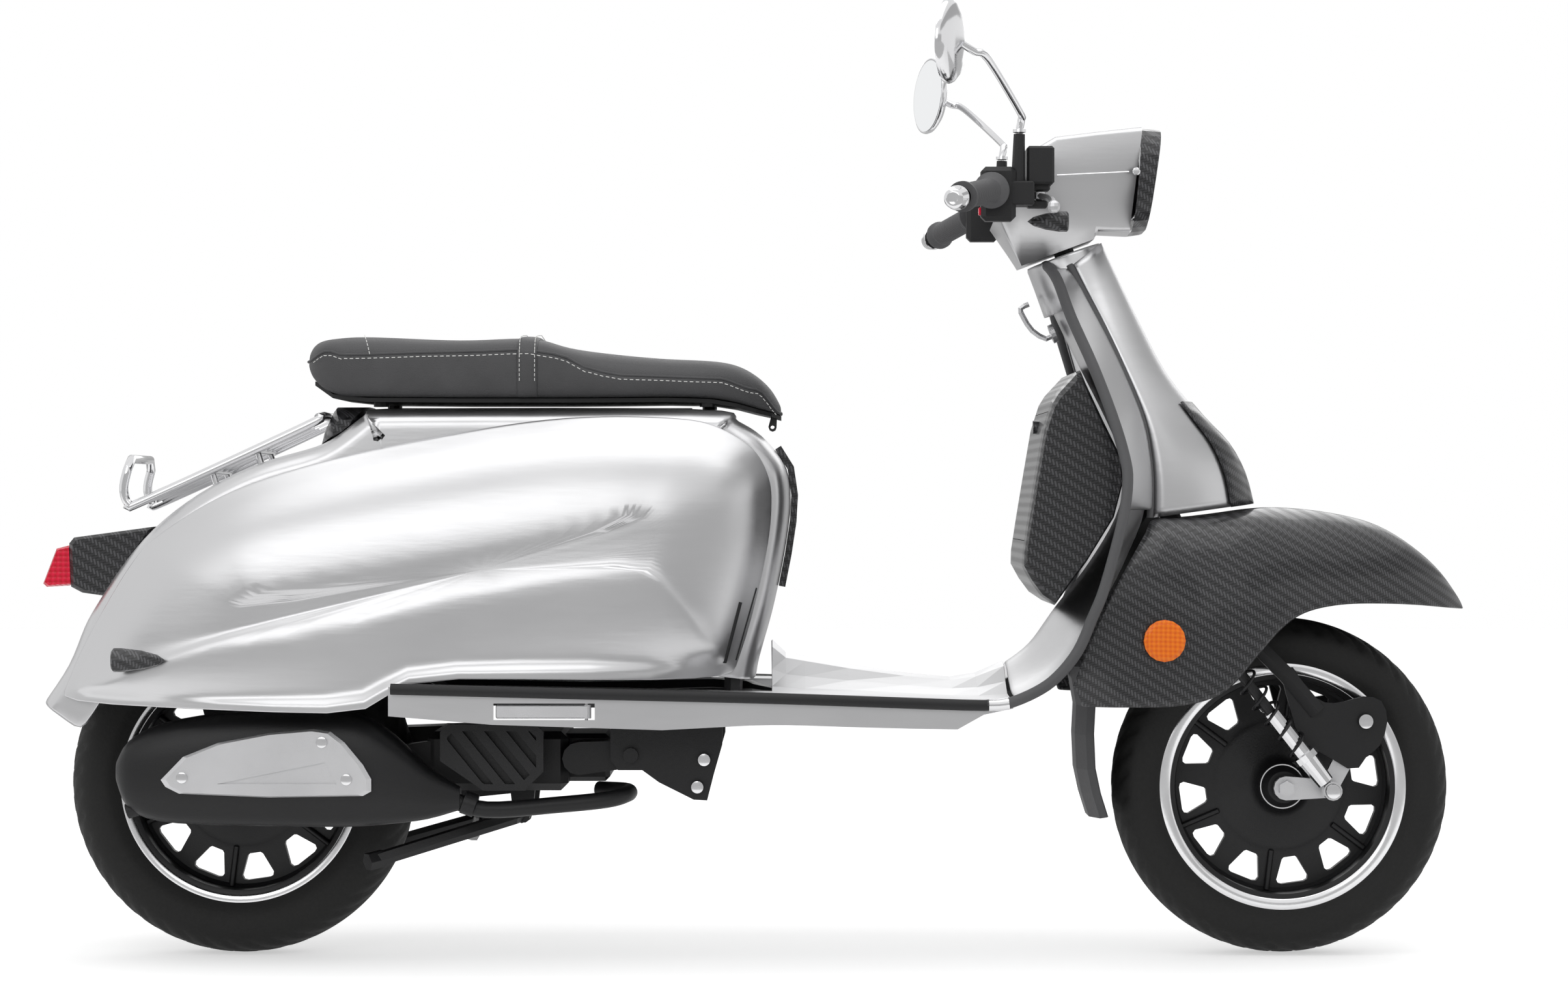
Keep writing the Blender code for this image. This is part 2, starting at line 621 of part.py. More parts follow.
GUARD_ROWS = [  # upper edge (x, y, z), lower edge (x, y, z), from the rear to the tip
    ((0.4120, 0.2180, 0.3700), (0.4250, 0.2060, 0.3440)),
    ((0.4330, 0.2200, 0.4240), (0.4600, 0.2040, 0.3425)),
    ((0.4610, 0.2120, 0.4840), (0.5000, 0.2000, 0.3420)),
    ((0.4900, 0.1880, 0.5360), (0.5450, 0.1950, 0.3425)),
    ((0.5140, 0.1520, 0.5730), (0.5900, 0.1890, 0.3500)),
    ((0.5271, 0.1205, 0.5894), (0.6240, 0.1820, 0.3680)),
    ((0.5800, 0.1120, 0.5900), (0.6560, 0.1730, 0.4040)),
    ((0.6300, 0.0850, 0.5960), (0.6900, 0.1600, 0.4410)),
    ((0.6760, 0.0400, 0.6030), (0.7250, 0.1450, 0.4640)),
    ((0.7200, 0.0000, 0.6035), (0.7750, 0.1240, 0.4740)),
    ((0.7880, 0.0000, 0.5950), (0.8300, 0.1020, 0.4750)),
    ((0.8500, 0.0000, 0.5760), (0.8850, 0.0760, 0.4725)),
    ((0.9150, 0.0000, 0.5290), (0.9330, 0.0400, 0.4680)),
    ((0.9500, 0.0000, 0.4820), (0.9600, 0.0080, 0.4660))]


def guard_row(upper, lower):
    """Quadratic arch from the upper edge out and down to the lower edge."""
    a, b = Vector(upper), Vector(lower)
    crown = Vector(((a.x + b.x) / 2, max(b.y * 1.06, a.y), lerp(a.z, b.z, 0.06)))
    row = []
    for n in range(6):
        t = n / 5
        p = a * (1 - t) ** 2 + crown * (2 * t * (1 - t)) + b * t * t
        row.append((p.x, -p.y, p.z))
    return row


def front_mudguard():
    """Fixed guard: open under the horncast, closed over the wheel."""
    bm = bmesh.new()
    for side in (-1, 1):
        rows = [[bm.verts.new((x, -side * y, z)) for x, y, z in guard_row(*row)]
                for row in GUARD_ROWS]
        for low, high in zip(rows, rows[1:]):
            for n in range(len(low) - 1):
                bm.faces.new((low[n], low[n + 1], high[n + 1], high[n]))
    tidy(bm, 1e-5)
    part("front_mudguard", thickened(bm, SHEET, (0.66, 0.0, 0.36)), "carbon")


def reflector(side):
    x, z, y = 0.5330, 0.4300, 0.2027
    disc = turned([(0, 0), (0.0275, 0), (0.0275, 0.004), (0.022, 0.0065), (0, 0.0075)],
                  (x, -y, z), (0.06, -1, 0.0), 16)
    name = "reflector_right" if side < 0 else "reflector_left"
    part(name, mirrored(disc, side), "amber")


BOX_REAR = [(0.3960, 0.4740), (0.3780, 0.4860), (0.3640, 0.5050), (0.3530, 0.5250),
            (0.3535, 0.5430), (0.3600, 0.5855), (0.3700, 0.6460), (0.3810, 0.7100),
            (0.3920, 0.7440), (0.4000, 0.7570), (0.4240, 0.7830), (0.4300, 0.7850)]
BOX_FRONT = [(0.4360, 0.7700), (0.4590, 0.7210), (0.4840, 0.6700), (0.4870, 0.6400),
             (0.4740, 0.5900), (0.4370, 0.5300), (0.4140, 0.4990)]
BOX_HALF_WIDTH = 0.150
DOOR_LOW = 0.560
DOOR_HIGH = 0.730
DOOR_HALF_WIDTH = 0.120
DOOR_GAP = 0.0008


def box_rear_x(z):
    """Drawn X of the glovebox's rear face at a height."""
    for (x0, z0), (x1, z1) in zip(BOX_REAR, BOX_REAR[1:]):
        if z0 <= z <= z1:
            return lerp(x0, x1, (z - z0) / (z1 - z0))
    raise ValueError(z)


def glovebox():
    """Hollow carbon box behind the leg shield with a doorway in its rear face."""
    outline = BOX_REAR + BOX_FRONT
    middle = (0.425, 0.615)
    rings = []
    for y, scale in ((-1.0, 0.93), (-0.93, 0.98), (-0.80, 1.0), (0.80, 1.0), (0.93, 0.98),
                     (1.0, 0.93)):
        rings.append([(lerp(middle[0], x, scale), y * BOX_HALF_WIDTH, lerp(middle[1], z, scale))
                      for x, z in outline])
    inner = [(lerp(middle[0], x, 0.90), lerp(middle[1], z, 0.955)) for x, z in outline]
    hollow = prism(inner, -BOX_HALF_WIDTH + 0.008, BOX_HALF_WIDTH - 0.008)
    low, high = DOOR_LOW - DOOR_GAP, DOOR_HIGH + DOOR_GAP
    doorway = prism([(box_rear_x(low) - 0.02, low), (box_rear_x(low) + 0.02, low),
                     (box_rear_x(high) + 0.02, high), (box_rear_x(high) - 0.02, high)],
                    -DOOR_HALF_WIDTH - DOOR_GAP, DOOR_HALF_WIDTH + DOOR_GAP)
    boss = rod((0.470, 0, 0.655), (0.4935, 0, 0.655), 0.006, 10)
    part("glovebox", union(cut(loft(rings), hollow, doorway), boss), "carbon")


def glovebox_door():
    """Flap that fills the doorway and folds down and out about its lower edge."""
    zs = [DOOR_LOW, 0.5855, 0.646, 0.710, DOOR_HIGH]
    outer = [(box_rear_x(z), z) for z in zs]
    wall = [(x + 0.0045, z) for x, z in outer[::-1]]
    panel = prism(outer + wall, -DOOR_HALF_WIDTH, DOOR_HALF_WIDTH)
    x = box_rear_x(0.712)
    knob = rod((x - 0.006, 0, 0.712), (x + 0.003, 0, 0.712), 0.009, 12)
    part("glovebox_door", union(panel, knob), "carbon", pivot=(DOOR_HINGE[0], 0, DOOR_HINGE[1]))


def bag_hook():
    """Curled hook on a round foot at the back of the column."""
    path = smooth([(0.4045, 0, 0.8395), (0.3940, 0, 0.8320), (0.3750, 0, 0.8430),
                   (0.3630, 0, 0.8610), (0.3590, 0, 0.8730), (0.3700, 0, 0.8790)], 2)
    foot = rod((0.4000, 0, 0.8380), (0.4055, 0, 0.8402), 0.013, 16)
    part("bag_hook", union(foot, tube(path, 0.004)), "aluminium")


BODY_LINE = [(-0.946, 0.349), (-0.913, 0.397), (-0.894, 0.447), (-0.872, 0.485),
             (-0.836, 0.539), (-0.790, 0.589), (-0.724, 0.6355), (-0.653, 0.668),
             (-0.585, 0.686), (-0.550, 0.7065), (-0.516, 0.732), (-0.480, 0.737),
             (-0.060, 0.737), (-0.032, 0.7235), (0.000, 0.7066), (0.0255, 0.681),
             (0.0420, 0.655), (0.0470, 0.620), (0.0450, 0.585), (0.0385, 0.542),
             (0.0300, 0.4985), (0.0200, 0.4550), (0.0040, 0.4000), (0.0000, 0.3750)]


def body_shell():
    """Central rear body: an arch open at the sides under the side panels, and below."""
    rows = [[] for _ in BODY_LINE]
    stations = [(0.0, 0.0), (0.45, 0.0), (0.74, 0.003), (0.91, 0.009), (1.0, 0.021),
                (1.0, 0.046)]
    for share, depth in reversed(stations):
        line = inset(BODY_LINE, depth)
        for row, (x, z) in zip(rows, line):
            row.append((x, -share * SPINE_HALF_WIDTH, z))
    rows = [both_sides(row) for row in rows]
    shell = sheet(rows, SHEET, (-0.40, 0.0, 0.45))
    w = BUCKET_HALF_WIDTH + 0.0005
    opening = box((BUCKET_REAR - 0.0005, -w, 0.700), (BUCKET_FRONT + 0.0005, w, 0.760))
    x, z = SEAT_HINGE
    foot = prism([(x - 0.012, 0.684), (x - 0.0005, 0.684), (x + 0.0050, z - 0.004),
                  (x + 0.003, z + 0.0050), (x - 0.003, z + 0.0050), (x - 0.006, z - 0.004)],
                 -0.020, 0.020)
    pin = rod((x, -0.034, z), (x, 0.034, z), 0.0025, 8)
    part("body_shell", union(cut(shell, opening), foot, pin), "silver")


PANEL_TOP = [(-0.915, 0.3485), (-0.896, 0.397), (-0.873, 0.444), (-0.822, 0.530),
             (-0.779, 0.573), (-0.685, 0.628), (-0.552, 0.6695), (-0.412, 0.6990),
             (-0.293, 0.7180), (-0.200, 0.7240), (-0.110, 0.7220), (-0.055, 0.7130),
             (-0.004, 0.6830), (0.0185, 0.6430), (0.0220, 0.6050), (0.0175, 0.5565),
             (0.0040, 0.4920), (-0.0120, 0.4320), (-0.0300, 0.3800)]
PANEL_FOOT = [(-0.120, 0.3790), (-0.300, 0.3810), (-0.474, 0.3840), (-0.482, 0.3340),
              (-0.620, 0.3380), (-0.780, 0.3430)]
PANEL_SPINE = ((-0.640, 0.455), (-0.160, 0.560))


def panel_half_width(x):
    """Half width of the rear body over its side panels at a station."""
    back = max(0.0, (-0.52 - x) / 0.40)
    return BODY_HALF_WIDTH - BODY_TAPER * (BODY_HALF_WIDTH - SPINE_HALF_WIDTH) * back ** 1.8


def side_panel(side):
    """Bulged side panel, hanging open along its lower edge."""
    rim_y = SPINE_HALF_WIDTH + SHEET + 2 * GAP
    a, b = (Vector(p) for p in PANEL_SPINE)
    outline = PANEL_TOP + PANEL_FOOT
    rows = []
    for share, rise in ((0.0, 0.0), (0.05, 0.42), (0.13, 0.68), (0.27, 0.86), (0.52, 0.965),
                        (0.86, 1.0)):
        row = []
        for n, point in enumerate(outline):
            p = Vector(point)
            t = min(max((p - a).dot(b - a) / (b - a).length_squared, 0.0), 1.0)
            q = p.lerp(a.lerp(b, t), share)
            full = panel_half_width(q.x)
            low = smoothstep((0.50 - point[1]) / 0.12)
            start = lerp(rim_y, max(panel_half_width(p.x) - 0.012, rim_y + 0.004), low)
            start = rim_y if n in (0, len(PANEL_TOP) - 1) else start
            row.append((q.x, -lerp(start, full, rise), q.y))
        rows.append(row)
    bm = bmesh.new()
    grid = [[bm.verts.new(p) for p in row] for row in rows]
    for low_row, high_row in zip(grid, grid[1:]):
        for n in range(len(low_row)):
            m = (n + 1) % len(low_row)
            bm.faces.new((low_row[n], low_row[m], high_row[m], high_row[n]))
    bm.faces.new(grid[-1])
    solid = thickened(bm, SHEET, (-0.40, 0.0, 0.50))
    name = "side_panel_right" if side < 0 else "side_panel_left"
    part(name, mirrored(solid, side), "silver")


def smoothstep(t):
    t = min(max(t, 0.0), 1.0)
    return t * t * (3 - 2 * t)


def body_grille():
    """Raised vent strip down the front of the body."""
    line = BODY_LINE[15:21]
    outer = inset(line, -0.0095)
    inner = inset(line, -0.0006)
    part("body_grille", prism(outer + inner[::-1], -0.062, 0.062), "carbon")


def tail_light():
    housing = [(-0.905, 0.489), (-0.920, 0.497), (-0.9225, 0.555), (-0.916, 0.563),
               (-0.8090, 0.5775), (-0.8190, 0.5625), (-0.8378, 0.5385), (-0.8580, 0.5083),
               (-0.8735, 0.4845)]
    rings = []
    middle = (-0.872, 0.530)
    for y, scale in ((-0.062, 0.90), (-0.056, 1.0), (0.056, 1.0), (0.062, 0.90)):
        rings.append([(lerp(middle[0], x, scale), y, lerp(middle[1], z, scale))
                      for x, z in housing])
    part("tail_light_housing", loft(rings), "carbon")
    lens = [(-0.9208, 0.4985), (-0.9540, 0.4965), (-0.9590, 0.5010), (-0.9410, 0.5480),
            (-0.9232, 0.5525)]
    rings = []
    for y, scale in ((-0.055, 0.90), (-0.048, 1.0), (0.048, 1.0), (0.055, 0.90)):
        rings.append([(lerp(-0.9240, x, scale) if x < -0.925 else x, y,
                       lerp(0.523, z, scale)) for x, z in lens])
    part("tail_light_lens", loft(rings), "red")


def bullet(centre, length, radius, way, sides=12):
    """Turned lamp body: rounded tip at the far end, flat lens at the near end."""
    profile = [(0, 0), (radius * 0.85, 0), (radius, 0.002), (radius, 0.012),
               (radius * 0.80, length * 0.55), (radius * 0.45, length * 0.85), (0, length)]
    return turned(profile, centre, way, sides)


def rear_indicator(side):
    x, z = -0.835, 0.4056
    y = panel_half_width(-0.800) + 0.0175
    lamp = bullet((x, -y, z), 0.069, 0.0155, (1, 0, 0))
    stalk = rod((-0.817, -y, z), (-0.817, -panel_half_width(-0.817) + 0.0020, z), 0.007, 8)
    name = "rear_indicator_right" if side < 0 else "rear_indicator_left"
    part(name, mirrored(union(lamp, stalk), side), "carbon")


def rear_rack():
    """Chromed tube frame over the tail, standing on two cross bars with feet."""
    w, r = 0.090, 0.006
    side_line = [(-0.838, 0.654), (-0.843, 0.628), (-0.8355, 0.6085), (-0.815, 0.6130),
                 (-0.600, 0.7120), (-0.5830, 0.7235)]
    line = smooth([(x, -w, z) for x, z in side_line], 1)
    loop = [(-0.836, -w + 0.02, 0.668), *line, (-0.5790, -w + 0.02, 0.7255)]
    loop += [(x, -y, z) for x, y, z in loop[::-1]]
    pieces = [tube(loop, r, 2, cyclic=True)]
    for share in (0.40, 0.68):
        x, z = lerp(-0.815, -0.600, share), lerp(0.613, 0.712, share)
        pieces.append(rod((x, -w, z), (x, w, z), 0.005, 8))
        for y in (-0.045, 0.045):
            pieces.append(rod(body_top(x, y, 2 * GAP), body_top(x, y, 0.018), 0.008, 8))
    part("rear_rack", union(*pieces), "chrome")


def body_top(x, y, above):
    """Point at a height square above the body's upper line."""
    for a, b in zip(BODY_LINE, BODY_LINE[1:]):
        if a[0] <= x <= b[0]:
            way = (Vector(b) - Vector(a)).normalized()
            z = lerp(a[1], b[1], (x - a[0]) / (b[0] - a[0]))
            return x - way.y * above, y, z + way.x * above
    raise ValueError(x)


BUCKET_REAR = -0.470
BUCKET_FRONT = -0.085
BUCKET_HALF_WIDTH = 0.104
BUCKET_FLOOR = 0.455


def storage_bucket():
    """Open tub that hangs in the body under the seat."""
    w = BUCKET_HALF_WIDTH
    tub = box((BUCKET_REAR, -w, BUCKET_FLOOR), (BUCKET_FRONT, w, 0.7355))
    wall = 0.003
    inside = box((BUCKET_REAR + wall, -w + wall, BUCKET_FLOOR + wall),
                 (BUCKET_FRONT - wall, w - wall, 0.80))
    part("storage_bucket", cut(tub, inside), "black_plastic")


SEAT_STATIONS = [  # (x, underside, top, share of the half width)
    (-0.599, 0.784, 0.812, 0.52), (-0.588, 0.766, 0.8255, 0.74), (-0.562, 0.7485, 0.8310, 0.90),
    (-0.516, 0.7435, 0.8332, 0.985), (-0.396, 0.7425, 0.8280, 1.0), (-0.300, 0.7425, 0.8310, 1.0),
    (-0.250, 0.7425, 0.8177, 0.985), (-0.180, 0.7430, 0.8091, 0.94), (-0.120, 0.7437, 0.8039, 0.89),
    (-0.060, 0.7425, 0.8013, 0.80), (-0.026, 0.7370, 0.7953, 0.71), (0.000, 0.7300, 0.7816, 0.59),
    (0.021, 0.7250, 0.7618, 0.43), (0.034, 0.7210, 0.7386, 0.22)]
SEAT_PAN = 0.0055


def seat_cushion():
    section = [(-0.88, 0), (-0.98, 0.25), (-1, 0.5), (-0.93, 0.8), (-0.6, 0.96), (0, 1),
               (0.6, 0.96), (0.93, 0.8), (1, 0.5), (0.98, 0.25), (0.88, 0)]
    rings = []
    for x, low, top, share in SEAT_STATIONS:
        w = SEAT_HALF_WIDTH * share
        base = low + SEAT_PAN + GAP
        rings.append([(x, y * w, lerp(base, top, t)) for y, t in section])
    part("seat_cushion", loft(rings), "leather", pivot=(SEAT_HINGE[0], 0, SEAT_HINGE[1]))


def seat_base():
    """Seat pan with four buffers and the two knuckles of its front hinge."""
    rings = []
    for x, low, _, share in SEAT_STATIONS[1:]:
        w = SEAT_HALF_WIDTH * share * 0.84
        rings.append([(x, -w, low), (x, w, low), (x, w, low + SEAT_PAN), (x, -w, low + SEAT_PAN)])
    pieces = [loft(rings)]
    for x in (-0.500, -0.065):
        for y in (-0.085, 0.085):
            pieces.append(rod((x, y, 0.7375), (x, y, 0.7460), 0.010, 8))
    x, z = SEAT_HINGE
    for side in (-1, 1):
        low, high = sorted((side * 0.0205, side * 0.0335))
        pieces.append(prism(hull_of_circles([(x, z, 0.0055), (x + 0.002, z + 0.013, 0.0040)], 8),
                            low, high))
    bore = rod((x, -0.05, z), (x, 0.05, z), 0.0025 + RUNNING, 8)
    part("seat_base", cut(union(*pieces), bore), "black_plastic", pivot=(x, 0, z))


def splash_flap():
    """Curved flap behind the front tyre, hung from the frame."""
    line = [(0.4250, 0.390), (0.4290, 0.372), (0.4350, 0.337), (0.4330, 0.298),
            (0.4350, 0.252), (0.4420, 0.219), (0.4520, 0.187)]
    rows = []
    for x, z in line:
        rows.append(both_sides([(x + 0.020, -0.070, z + 0.002), (x + 0.012, -0.062, z),
                                (x, -0.030, z), (x, 0.0, z)]))
    part("splash_flap", sheet(rows, 0.003, (0.30, 0.0, 0.30)), "rubber")


# ---- steering assembly -------------------------------------------------------------------
def bar_line(side):
    """Handlebar from the clamp on the column out to the end of one grip."""
    share = BAR_HALF_WIDTH / 0.345
    return [(0.3800, 0.0, 1.0430), (0.3560, side * 0.085, 1.0345),
            (0.3130, side * 0.200 * share, 1.0180), (0.2550, side * 0.362 * share, 0.9935)]


def bar_point(side, y):
    """Drawn point of the handlebar at a distance out from the middle."""
    line = [Vector(p) for p in bar_line(side)]
    for a, b in zip(line, line[1:]):
        if abs(a.y) <= y <= abs(b.y):
            return a.lerp(b, (y - abs(a.y)) / (abs(b.y) - abs(a.y)))
    return line[-1]


def steering_column():
    """Stem, fork crown, two legs with their link brackets, and the handlebar."""
    pieces = [tube([column(0.520), column(0.760), column(1.043)], STEM_RADIUS, 3)]
    crown = column(0.512)
    leg_y = LINK_Y + LINK_THICKNESS + 0.003 + BRACKET_THICKNESS / 2
    pieces.append(rod((crown.x, -leg_y, crown.z), (crown.x, leg_y, crown.z), 0.019, 12))
    pear = smooth([(0.7000, 0.3850), (0.7170, 0.3900), (0.7360, 0.3600), (0.7600, 0.3430),
                   (0.7850, 0.3440), (0.8120, 0.3510), (0.8350, 0.3450), (0.8430, 0.3180),
                   (0.8330, 0.2860), (0.8160, 0.2720)], 2)
    pear += [(0.8050, 0.2560), (0.7900, 0.2550), (0.7620, 0.2720), (0.7330, 0.2880),
             (0.7200, 0.3100)]
    for side in (-1, 1):
        y = side * leg_y
        pieces.append(tube([(crown.x, y, crown.z), (0.6480, y, 0.4400), (0.7080, y, 0.3800),
                            (0.7500, y, 0.3300)], 0.0125))
        half = BRACKET_THICKNESS / 2
        pieces.append(prism(pear, y - half, y + half))
        x, z = SHOCK_TOP
        ear = hull_of_circles([(x, z, 0.012), (0.650, 0.4380, 0.010), (0.622, 0.4730, 0.010)], 10)
        pieces.append(prism(ear, y - half, y + half))
        pieces.append(rod((x, y, z), (x, side * (SHOCK_Y + 0.013), z), PIN + 0.001, 10))
        x, z = LINK_PIVOT
        pieces.append(rod((x, side * 0.060, z), (x, side * (leg_y + 0.010), z), 0.0065, 12))
        inner = bar_line(side)
        pieces.append(tube(inner, BAR_RADIUS, 2))
        end, back = Vector(inner[-1]), Vector(inner[-2])
        out = (end - back).normalized()
        pieces.append(turned([(0, 0), (0.0150, 0), (0.0150, 0.004), (0.0120, 0.018),
                              (0.0095, 0.020), (0, 0.020)], end - out * 0.004, out, 12))
    part("steering_column", union(*pieces), "black_metal",
         pivot=tuple(column(DRAWN_FRONT_Z)))


HEADSET_LINE = [(0.3190, 0.9830), (0.3400, 1.0330), (0.3610, 1.0790), (0.3980, 1.1010),
                (0.4560, 1.1080), (0.5145, 1.1150), (0.5088, 1.0435), (0.5030, 0.9720),
                (0.4620, 0.9740), (0.4546, 0.9640), (0.3570, 0.9280)]
HEADSET_HALF_WIDTH = 0.097
NECK_HALF_WIDTH = 0.050


def headset():
    """Nacelle flowing down into a neck that turns just above the column."""
    foot = Vector((0.357, 0.0, 0.928))
    rings = []
    middle = (0.425, 1.030)
    for share, scale in ((-1.0, 0.86), (-0.90, 0.955), (-0.62, 1.0), (0.0, 1.0), (0.62, 1.0),
                         (0.90, 0.955), (1.0, 0.86)):
        ring = []
        for x, z in HEADSET_LINE:
            height = (Vector((x, 0.0, z)) - foot).dot(COLUMN_AXIS)
            width = lerp(NECK_HALF_WIDTH, HEADSET_HALF_WIDTH, smoothstep(height / 0.075))
            front = x > 0.50
            foot_scale = 1.0 if front or z < 0.97 and x > 0.35 else scale
            ring.append((lerp(middle[0], x, 1.0 if front else foot_scale), share * width,
                         lerp(middle[1], z, scale if front else foot_scale)))
        rings.append(ring)
    shell = loft(rings)
    low, high = column(0.90), column(1.07)
    stem = rod(low, high, STEM_RADIUS + 0.002, 12)
    lamp = rod((0.440, 0, 1.045), (0.530, 0, 1.0435), 0.062, 20)
    bars = [tube(bar_line(side)[:3], BAR_RADIUS + 0.001, 2) for side in (-1, 1)]
    part("headset", cut(shell, stem, lamp, *bars), "silver",
         pivot=tuple(column(DRAWN_FRONT_Z)))


def headlight():
    """Carbon surround with a sloping front, and the domed glass inside it."""
    def outline(half_width, low, high, x_low, x_high, power=0.62):
        ring = []
        for n in range(24):
            t = 2 * math.pi * n / 24
            c, s = math.cos(t), math.sin(t)
            y = half_width * math.copysign(abs(c) ** power, c)
            share = (1 + math.copysign(abs(s) ** power, s)) / 2
            ring.append((lerp(x_low, x_high, share), y, lerp(low, high, share)))
        return ring

    def opening(x, radius):
        return [(x, radius * math.cos(2 * math.pi * n / 24),
                 1.0435 + radius * math.sin(2 * math.pi * n / 24)) for n in range(24)]

    wide = HEADSET_HALF_WIDTH
    rings = [outline(wide, 0.9720, 1.1150, 0.5045, 0.5160),
             outline(wide * 0.97, 0.9745, 1.1125, 0.5235, 0.5440), opening(0.5240, 0.0660),
             opening(0.5185, 0.0600)]
    part("headlight_bezel", loft(rings, capped=False), "carbon",
         pivot=tuple(column(DRAWN_FRONT_Z)))
    lens = turned([(0, 0), (0.0588, 0), (0.0588, 0.004), (0.047, 0.0115), (0.026, 0.0165),
                   (0, 0.018)], (0.5152, 0, 1.0435), (1, 0, 0), 24)
    part("headlight_lens", lens, "clear", pivot=tuple(column(DRAWN_FRONT_Z)))


def grip(side):
    """Rubber sleeve on the bar with a flange at each end."""
    start, end = bar_point(side, 0.213), bar_point(side, 0.213 + 0.128)
    way = end - start
    hole = BAR_RADIUS + RUNNING
    r, length = GRIP_RADIUS, way.length
    outer = [(hole, 0), (0.0240, 0), (0.0240, 0.006), (r + 0.001, 0.012), (r, 0.030),
             (r, length - 0.010), (r + 0.0035, length - 0.006), (r + 0.0035, length),
             (hole, length)]
    sleeve = turned(outer, start, way, 16, ring=True)
    name = "throttle_grip" if side < 0 else "grip_left"
    part(name, sleeve, "rubber", pivot=tuple(start))


LEVER_PIVOT = Vector((0.3720, 0.172, 1.0120))


def lever(side):
    """Brake lever: eye on an upright pin, blade and ball end."""
    p = LEVER_PIVOT
    eye = rod((p.x, -p.y, p.z - 0.0045), (p.x, -p.y, p.z + 0.0045), 0.0085, 12)
    share = BAR_HALF_WIDTH / 0.345
    blade = smooth([(p.x, -p.y - 0.004, p.z), (0.3850, -0.205, 1.0050),
                    (0.3840, -0.260 * share, 0.9950), (0.3800, -0.322 * share, 0.9860)], 2)
    ball = bmesh.new()
    bmesh.ops.create_uvsphere(ball, u_segments=10, v_segments=6, radius=0.0085,
                              matrix=Matrix.Translation((0.3795, -0.330 * share, 0.9850)))
    solid = union(eye, tube(blade, 0.0045), ball)
    bore = rod((p.x, -p.y, p.z - 0.02), (p.x, -p.y, p.z + 0.02), PIN + RUNNING, 10)
    name = "lever_right" if side < 0 else "lever_left"
    part(name, mirrored(cut(solid, bore), side), "aluminium", pivot=(p.x, side * p.y, p.z))


STOP_BUTTON = ((0.2915, -0.195, 0.9850), (0.2990, -0.185, 0.9950))


def control(side):
    """Switch housing, lever perch, mirror boss and, as on both bars, a fluid reservoir."""
    p = LEVER_PIVOT
    housing = box((0.2945, -0.2030, 0.9770), (0.3400, -0.1720, 1.0480), 0.006)
    neck = box((0.3300, -0.2020, 0.9980), (0.3640, -0.1560, 1.0290), 0.002)
    upper = box((0.3560, -0.1800, 1.0180), (0.3860, -0.1560, 1.0290), 0.002)
    lower = box((0.3560, -0.1780, 0.9960), (0.3830, -0.1580, 1.0060), 0.002)
    tank = box((0.3550, -0.1900, 1.0260), (0.3910, -0.1450, 1.0760), 0.003)
    pin = rod((p.x, -p.y, 1.0000), (p.x, -p.y, 1.0240), PIN, 10)
    boss = rod((0.3430, -0.1880, 1.0200), (0.3450, -0.1885, 1.0910), 0.0095, 12, 0.0075)
    solid = union(housing, neck, upper, lower, tank, pin, boss)
    swing = rod((p.x, -p.y, p.z - 0.0057), (p.x, -p.y, p.z + 0.0057), 0.0100, 12)
    clear = prism([(p.x - 0.002, p.z - 0.0058), (p.x + 0.03, p.z - 0.0058),
                   (p.x + 0.03, p.z + 0.0058), (p.x - 0.002, p.z + 0.0058)],
                  -p.y - 0.05, -p.y)
    keep_pin = rod((p.x, -p.y, 1.0000), (p.x, -p.y, 1.0240), PIN, 10)
    line = bar_line(-1)
    bore = tube([bar_point(-1, 0.120), Vector(line[2]), bar_point(-1, 0.24)],
                BAR_RADIUS + 0.0004, 2)
    solid = union(cut(solid, swing, clear), keep_pin)
    cutters = [bore]
    if side < 0:
        (x0, y0, z0), (x1, y1, z1) = STOP_BUTTON
        cutters.append(box((x0 - 0.01, y0 - RUNNING, z0 - RUNNING),
                           (x1 + 0.0025, y1 + RUNNING, z1 + RUNNING)))
    name = "control_right" if side < 0 else "control_left"
    part(name, mirrored(cut(solid, *cutters), side), "black_plastic")


def stop_button():
    low, high = STOP_BUTTON
    part("stop_button", box(low, high, 0.001), "red", pivot=low)


INDICATOR_ROOT = 0.0765
MIRROR_BASE = (0.3452, 0.1888, 1.0915)
MIRROR_HEAD = Vector((0.253, 0.320, 1.197))


def mirror(side):
    """Bent chromed stem with a round dished head."""
    x, y, z = MIRROR_BASE
    stem = smooth([(x, -y, z + GAP), (x, -y, z + 0.006), (0.3475, -0.1920, 1.1100),
                   (0.3440, -0.2060, 1.1200),
                   (0.2980, -0.2980, 1.1760), (0.2800, -0.3120, 1.1840),
                   (0.2640, -0.3180, 1.1930)], 2)
    facing = Vector((-0.93, 0.34, 0.06)).normalized()
    centre = Vector((MIRROR_HEAD.x, -MIRROR_HEAD.y, MIRROR_HEAD.z))
    head = turned([(0, -0.010), (0.030, -0.0085), (0.050, -0.002), (0.055, 0.004),
                   (0.055, 0.008), (0.052, 0.008), (0, 0.0075)], centre, facing, 16)
    name = "mirror_right" if side < 0 else "mirror_left"
    solid = mirrored(union(head, tube(stem, 0.005)), side)
    part(name, solid, "chrome", pivot=(x, side * y, z))


def front_indicator(side):
    x, y, z = 0.4120, 0.150, 0.9800
    lamp = bullet((x, -y, z), 0.054, 0.0135, (-1, 0, 0))
    stalk = rod((x - 0.007, -y, z), (x - 0.005, -INDICATOR_ROOT, z + 0.010), 0.006, 8)
    name = "front_indicator_right" if side < 0 else "front_indicator_left"
    part(name, mirrored(union(lamp, stalk), side), "carbon")


